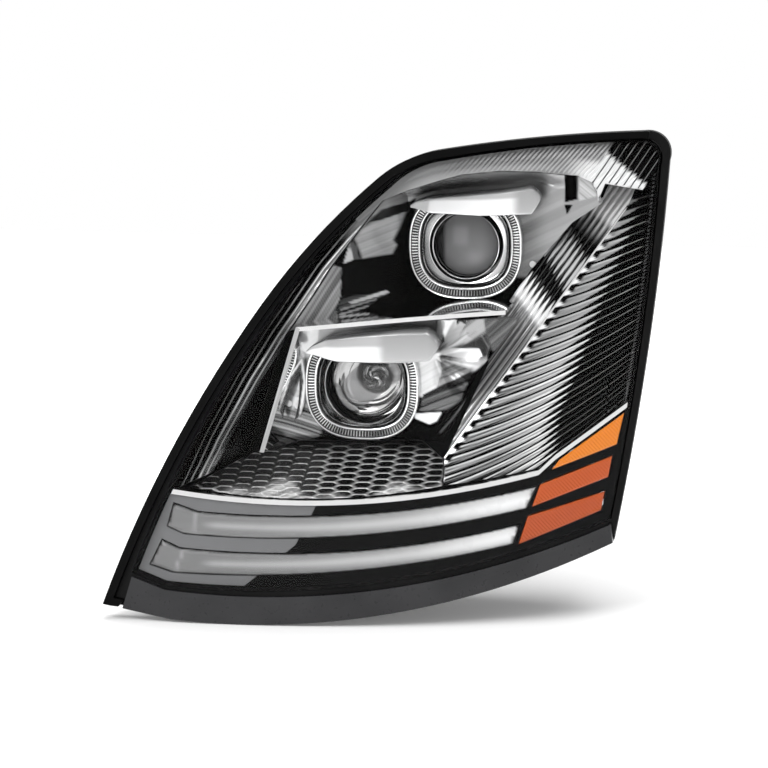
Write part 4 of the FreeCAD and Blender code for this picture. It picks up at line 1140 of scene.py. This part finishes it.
def light_ring(name, lamp, node):
    """Clear ring with a lip on each side of a band of radial teeth.

    Its profile gives (offset outward, y from the ring's plane, painted light tone), with no tone where the
    teeth are.
    """
    profile = ((0, 9, 0.8), (0, 1.2, 1), (-0.5, 0.3, 1), (-1.3, 0.0, 1), (-2.1, 0.3, 1), (-2.6, 1.6, 0.3),
               (-3.2, 2.2, None), (-6.0, 2.6, None), (-9.0, 3.2, None), (-9.6, 2.0, 0.3), (-10.2, 1.2, 1),
               (-11.0, 1.0, 1), (-11.8, 1.4, 1), (-12.4, 2.6, 0.3), (-14, 8.0, 0.05), (-14, 9, 0.3))
    rows, tint = [], []
    for i, (p, n) in enumerate(oval_path(*RING_HALF, 480)):
        # painted light on the teeth: crests lit unevenly round the ring, the gaps between them dark
        crest = i % 4 < 2
        lit = 0.66 + 0.20 * math.sin(i / 38 + 1.2) + 0.14 * math.sin(i / 9) if crest else 0.04
        row = []
        for off, y, tone in profile:
            toothed = tone is None
            rise = 1.1 if toothed and crest else 0.0
            row.append((lamp["x"] + p[0] + n[0] * off, lamp["y"] + y + rise, lamp["z"] + p[1] + n[1] * off))
            tint.append(lit if toothed else tone)
        rows.append(row)
    points, faces = skin(rows, closed=True)
    make(name, points, faces, RING, node=node, slot="clear_guide", sharp=25, tint=tint)


def ring_trim(name, lamp, node, radius, mouth, tones):
    """Funnel from the light ring down to the round mouth of the lamp, painted with bright reflections.

    Its levels give (how far in, y from the ring's plane, painted light tone).
    """
    step = 6.8
    levels = ((0.0, 15.0, 0.3), (0.0, 3.0, 0.95), (0.06, 2.2, 1.0), (0.14, 3.0, 0.85), (0.2, 6.0, 0.08),
              (0.3, step, tones[0]), (0.55, step + 0.4 * (mouth - step), tones[1]),
              (0.85, mouth - 0.7, tones[2]), (0.95, mouth - 0.3, tones[3]), (1.0, mouth + 1, 0.5),
              (1.0, mouth + 3.5, 0.1))
    rows, tint = [], []
    for (ox, oz), (nx, nz) in oval_path(*RING_HALF, 240):
        px, pz = ox - RING_WIDTH * nx, oz - RING_WIDTH * nz
        far = math.hypot(px, pz)
        cx, cz = px / far * radius, pz / far * radius
        angle = math.atan2(pz, px)
        # painted shade: the funnel's walls darker on one side, as light falls
        side = min(1.0, max(0.05, 0.62 + 0.38 * math.cos(angle + 0.9) + 0.12 * math.sin(3 * angle)))
        rows.append([(lamp["x"] + px + (cx - px) * f, lamp["y"] + y, lamp["z"] + pz + (cz - pz) * f)
                     for f, y, _ in levels])
        tint += [tone if f < 0.25 or f > 0.9 else tone * side for f, _, tone in levels]
    points, faces = skin(rows, closed=True)
    make(name, points, faces, SHADED_CHROME, node=node, slot="smoked_chrome", tint=tint)


def dome_profile(radius, sphere, front, steps):
    """Half outline of a dome from its pole out, as (radius, y)."""
    radii = [radius * i / steps for i in range(steps + 1)]
    return [(r, front + sphere - math.sqrt(sphere**2 - r * r)) for r in radii]


def projector():
    """Domed glass of the upper lamp and the ring that holds it."""
    x, z, y = LOW["x"], LOW["z"], LOW["y"]
    radius, height = 33.6, 8.0
    dome = dome_profile(radius, (radius**2 + height**2) / (2 * height), y + 10, 24)
    dome += [(radius, y + 30), (0, y + 30)]
    tones = []
    for i in range(SEGMENTS):
        for r, _ in dome:
            if r == 0 and i > 0:
                continue
            px, pz = r * math.cos(2 * math.pi * i / SEGMENTS), r * math.sin(2 * math.pi * i / SEGMENTS)
            # painted light on the glass: a bright reflection above the middle, another low outboard, and
            # painted shade in a crescent on the inboard side
            patch = math.exp(-(((px + 7) / 9) ** 4) - ((pz - 10) / 11) ** 4)
            low = math.exp(-(((px - 10) / 12) ** 2) - ((pz + 15) / 9) ** 2)
            tones.append((0.42 + 0.16 * patch + 0.18 * low) * (0.2 + 0.8 * float(smooth((px + 28) / 6))))
    lathe("projector_lens", dome, x, z, LENS_GLASS, tint=tones,
          node="low_beam_lens", body="low_beam_module", slot="optic_glass")
    # the retainer's tones are painted light: bright lips and dark grooves
    rings = ((33.9, 30.0, 0.05), (33.9, 16.8, 0.03), (33.9, 12.6, 0.5), (34.3, 11.8, 0.6), (34.7, 11.2, 0.02),
             (35.3, 5.6, 0.02), (35.6, 4.6, 0.9), (36.1, 4.2, 1.0), (36.7, 4.6, 0.9), (36.9, 6.0, 0.3),
             (36.9, 39.0, 0.1), (34.0, 39.0, 0.1))
    lathe("projector_retainer", [(r, y + d) for r, d, _ in rings], x, z, SHADED_CHROME,
          tint=[tone for _, _, tone in rings] * SEGMENTS,
          node="low_beam_retainer", body="low_beam_module", slot="lamp_metal")


def high_beam():
    """Bowl, faceted bulb shield and glass of the lower lamp."""
    x, z, y = HIGH["x"], HIGH["z"], HIGH["y"]
    angles = [math.pi / 2 * i / 32 for i in range(33)]
    inner = [(8 + 32 * math.cos(a), y + 37 + 55 * math.sin(a)) for a in angles]
    outer = [(r + 2, d + 2) for r, d in reversed(inner)]
    collar = [(8, y + 100), (16, y + 100), (16, y + 97)]
    flange = [(46, y + 39), (46, y + 37)]
    lathe("high_beam_bowl", inner + collar + outer + flange, x, z, CHROME,
          node="high_beam_reflector", body="high_beam_module", slot="reflector_mirror")
    facets, tones = [], []
    for level, (r, d) in enumerate(((13.0, 78.0), (13.6, 72.0), (12.2, 64.0), (7.6, 58.0), (2.0, 56.0))):
        ring = []
        for k in range(12):
            a = 2 * math.pi * (k + 0.5 * level) / 12
            wave = r * (1 + 0.07 * math.sin(5 * k + 2 * level))
            depth = y + d + 1.2 * math.sin(7 * k + level)
            ring.append((x + wave * math.cos(a), depth, z + wave * math.sin(a)))
            # facets painted alternately bright and dark, as painted reflections
            tones.append(1.0 if (k + level) % 2 else 0.04)
        facets.append(ring)
    points, faces = skin(facets)
    make("high_beam_shield_cap", points, faces, SHADED_CHROME, node="high_beam_bulb_shield",
         body="high_beam_module", slot="lamp_metal", sharp=8, tint=tones)
    radius = 41
    face = dome_profile(radius, 110.0, y + 18, 20)
    back = [(r * (radius - 2) / radius, d + 2) for r, d in reversed(face)]
    lathe("high_beam_cover", face + [(radius, y + 36.9), (radius - 2, y + 36.9)] + back, x, z, GLASS,
          node="high_beam_lens", body="high_beam_module", slot="optic_glass")


outer_lens()
light_bars()
ambers()
outboard_panel()
ridge_panel()
ridge_bead()
crown_panel()
upper_surround()
inboard_panel()
lower_surround()
lower_box()
honeycomb()
brow("upper_brow_cover", LOW, ((-57, 42), (-35, 37), (20, 35), (75, 38), (84, 47)),
     ((-57, 45), (-51, 50), (-37, 54.5), (-18, 57), (41, 63), (73, 68), (84, 64)), 22, "upper_brow",
     white=(0.76, 0.66))
brow("lower_brow_cover", HIGH, ((-56, 37), (-21, 30), (18, 30), (48, 31), (78, 34), (87, 42)),
     ((-56, 40), (-50, 46), (-33, 56), (-2, 61), (46, 66), (75, 67), (87, 58)), 26, "lower_brow",
     white=(0.52, 0.48))
light_ring("upper_ring", LOW, "upper_light_ring")
light_ring("lower_ring", HIGH, "lower_light_ring")
ring_trim("upper_liner", LOW, "upper_ring_trim", 40.2, 8.5, (0.5, 0.75, 0.95, 1.0))
ring_trim("lower_liner", HIGH, "lower_ring_trim", 42.8, 13.5, (0.35, 0.55, 0.75, 0.9))
projector()
high_beam()

# ---- CAD nodes that stay, with their finish
SHOWN = (
    (CHROME, "chrome_lip", "amber_chamber", "low_beam_reflector"),
    (BEZEL, "drl_bezel"),
    (HOUSING, "rear_housing"),
    (TRIM, "lower_trim"),
    (RUBBER, "lens_seal", "edge_seal", "breather_vents", "low_beam_cap_gasket", "high_beam_cap_gasket"),
    (BOARD, "drl_led_board"),
    (ALUMINIUM, "led_driver"),
    (BRASS, "mounting_inserts"),
    (CONNECTOR, "power_connector", "turn_signal_socket", "marker_socket", "low_beam_carrier",
     "high_beam_carrier"),
    (AMBER_GLASS, "turn_signal_bulb", "marker_bulb"),
    (STEEL, "driver_screws", "bezel_screws", "low_beam_shield", "low_beam_bulb", "high_beam_bulb",
     "low_beam_clip", "high_beam_clip", "low_beam_pivot_pins", "high_beam_pivot_pins", "low_beam_aim_stud",
     "high_beam_aim_stud"),
    (NYLON, "low_beam_aim_gear", "high_beam_aim_gear"),
    (CAP_BLACK, "low_beam_dust_cap", "high_beam_dust_cap"),
)
for mat, *nodes in SHOWN:
    for node in nodes:
        mesh = NODES[node].data
        mesh.materials.clear()
        mesh.materials.append(mat)
        mesh.shade_smooth()
        mesh.set_sharp_from_angle(angle=math.radians(32))


# ---- stage, light and camera
MIDDLE = DATUM + Vector((0, 120, 235)) * MM


def stage():
    """Pale floor that glows, brighter away from the lamp's foot so that it reads as one white with the
    backdrop; the dimmer glow near the foot is a painted shadow.
    """
    low = min(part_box(n)[0].z for n in NODES)
    bpy.ops.mesh.primitive_plane_add(size=5, location=(0, 0.6, low - 0.0005))
    floor = bpy.context.object
    floor.name = "floor"
    mat, tree, shader = principled("floor_white", grey(0.8), roughness=0.7, emission_color=(1, 1, 1, 1))
    mottle(tree, shader, 2.0, grey(0.79), grey(0.81))
    where = add_node(tree, "TexCoord", {}).outputs["Object"]
    away = add_node(tree, "VectorMath", {0: where, 1: (-0.07, -0.78, 0)}, operation="DISTANCE")
    glow = spread(tree, away.outputs["Value"], 0.10, 0.60, 0.25, 0.75, interpolation_type="SMOOTHSTEP")
    tree.links.new(glow, shader.inputs["Emission Strength"])
    floor.data.materials.append(mat)


def softbox(name, place, size, power):
    """A rectangular light at a place relative to the lamp's middle, turned towards it."""
    data = bpy.data.lights.new(name, "AREA")
    data.shape = "RECTANGLE"
    data.size, data.size_y = size
    data.energy = power
    light = bpy.data.objects.new(name, data)
    light.location = MIDDLE + Vector(place)
    light.rotation_euler = (MIDDLE - light.location).to_track_quat("-Z", "Y").to_euler()
    bpy.context.scene.collection.objects.link(light)


def world():
    """White backdrop for the camera; the lamp itself mirrors a room of greys, brightest overhead."""
    space = bpy.data.worlds.new("studio")
    bpy.context.scene.world = space
    space.use_nodes = True
    tree = space.node_tree
    where = add_node(tree, "TexCoord", {}).outputs["Generated"]
    height = spread(tree, add_node(tree, "SeparateXYZ", {0: where}).outputs["Z"], 0.0, 1.0, -1.0, 1.0)
    greys = ((0.0, 0.9), (0.5, 0.9), (0.62, 0.85), (0.72, 0.45), (0.82, 0.5), (1.0, 1.2))
    room = tree.nodes["Background"]
    tree.links.new(ramp(tree, height, *[(level, grey(tone)) for level, tone in greys]), room.inputs["Color"])
    backdrop = add_node(tree, "Background", {"Color": (1, 1, 1, 1)})
    seen = add_node(tree, "LightPath", {}).outputs["Is Camera Ray"]
    mix = add_node(tree, "MixShader", {"Fac": seen, 1: room.outputs[0], 2: backdrop.outputs[0]})
    tree.links.new(mix.outputs["Shader"], tree.nodes["World Output"].inputs["Surface"])


def camera():
    """Long lens that looks back at the lamp's middle and frames a little over 0.8 m."""
    azimuth, elevation, distance = math.radians(12), math.radians(10), 2.6
    width = 0.8064
    back = Vector((math.sin(azimuth) * math.cos(elevation), -math.cos(azimuth) * math.cos(elevation),
                   math.sin(elevation)))
    data = bpy.data.cameras.new("camera")
    data.lens = data.sensor_width * distance / width
    eye = bpy.data.objects.new("camera", data)
    eye.location = MIDDLE + back * distance
    eye.rotation_euler = (-back).to_track_quat("-Z", "Y").to_euler()
    bpy.context.scene.collection.objects.link(eye)
    bpy.context.scene.camera = eye


stage()
world()
camera()
softbox("key", (-1.2, -1.3, 1.6), (1.2, 1.2), 30)
softbox("top", (0.2, 0.9, 1.9), (2.2, 1.6), 46)
bpy.context.scene.view_settings.view_transform = "Standard"
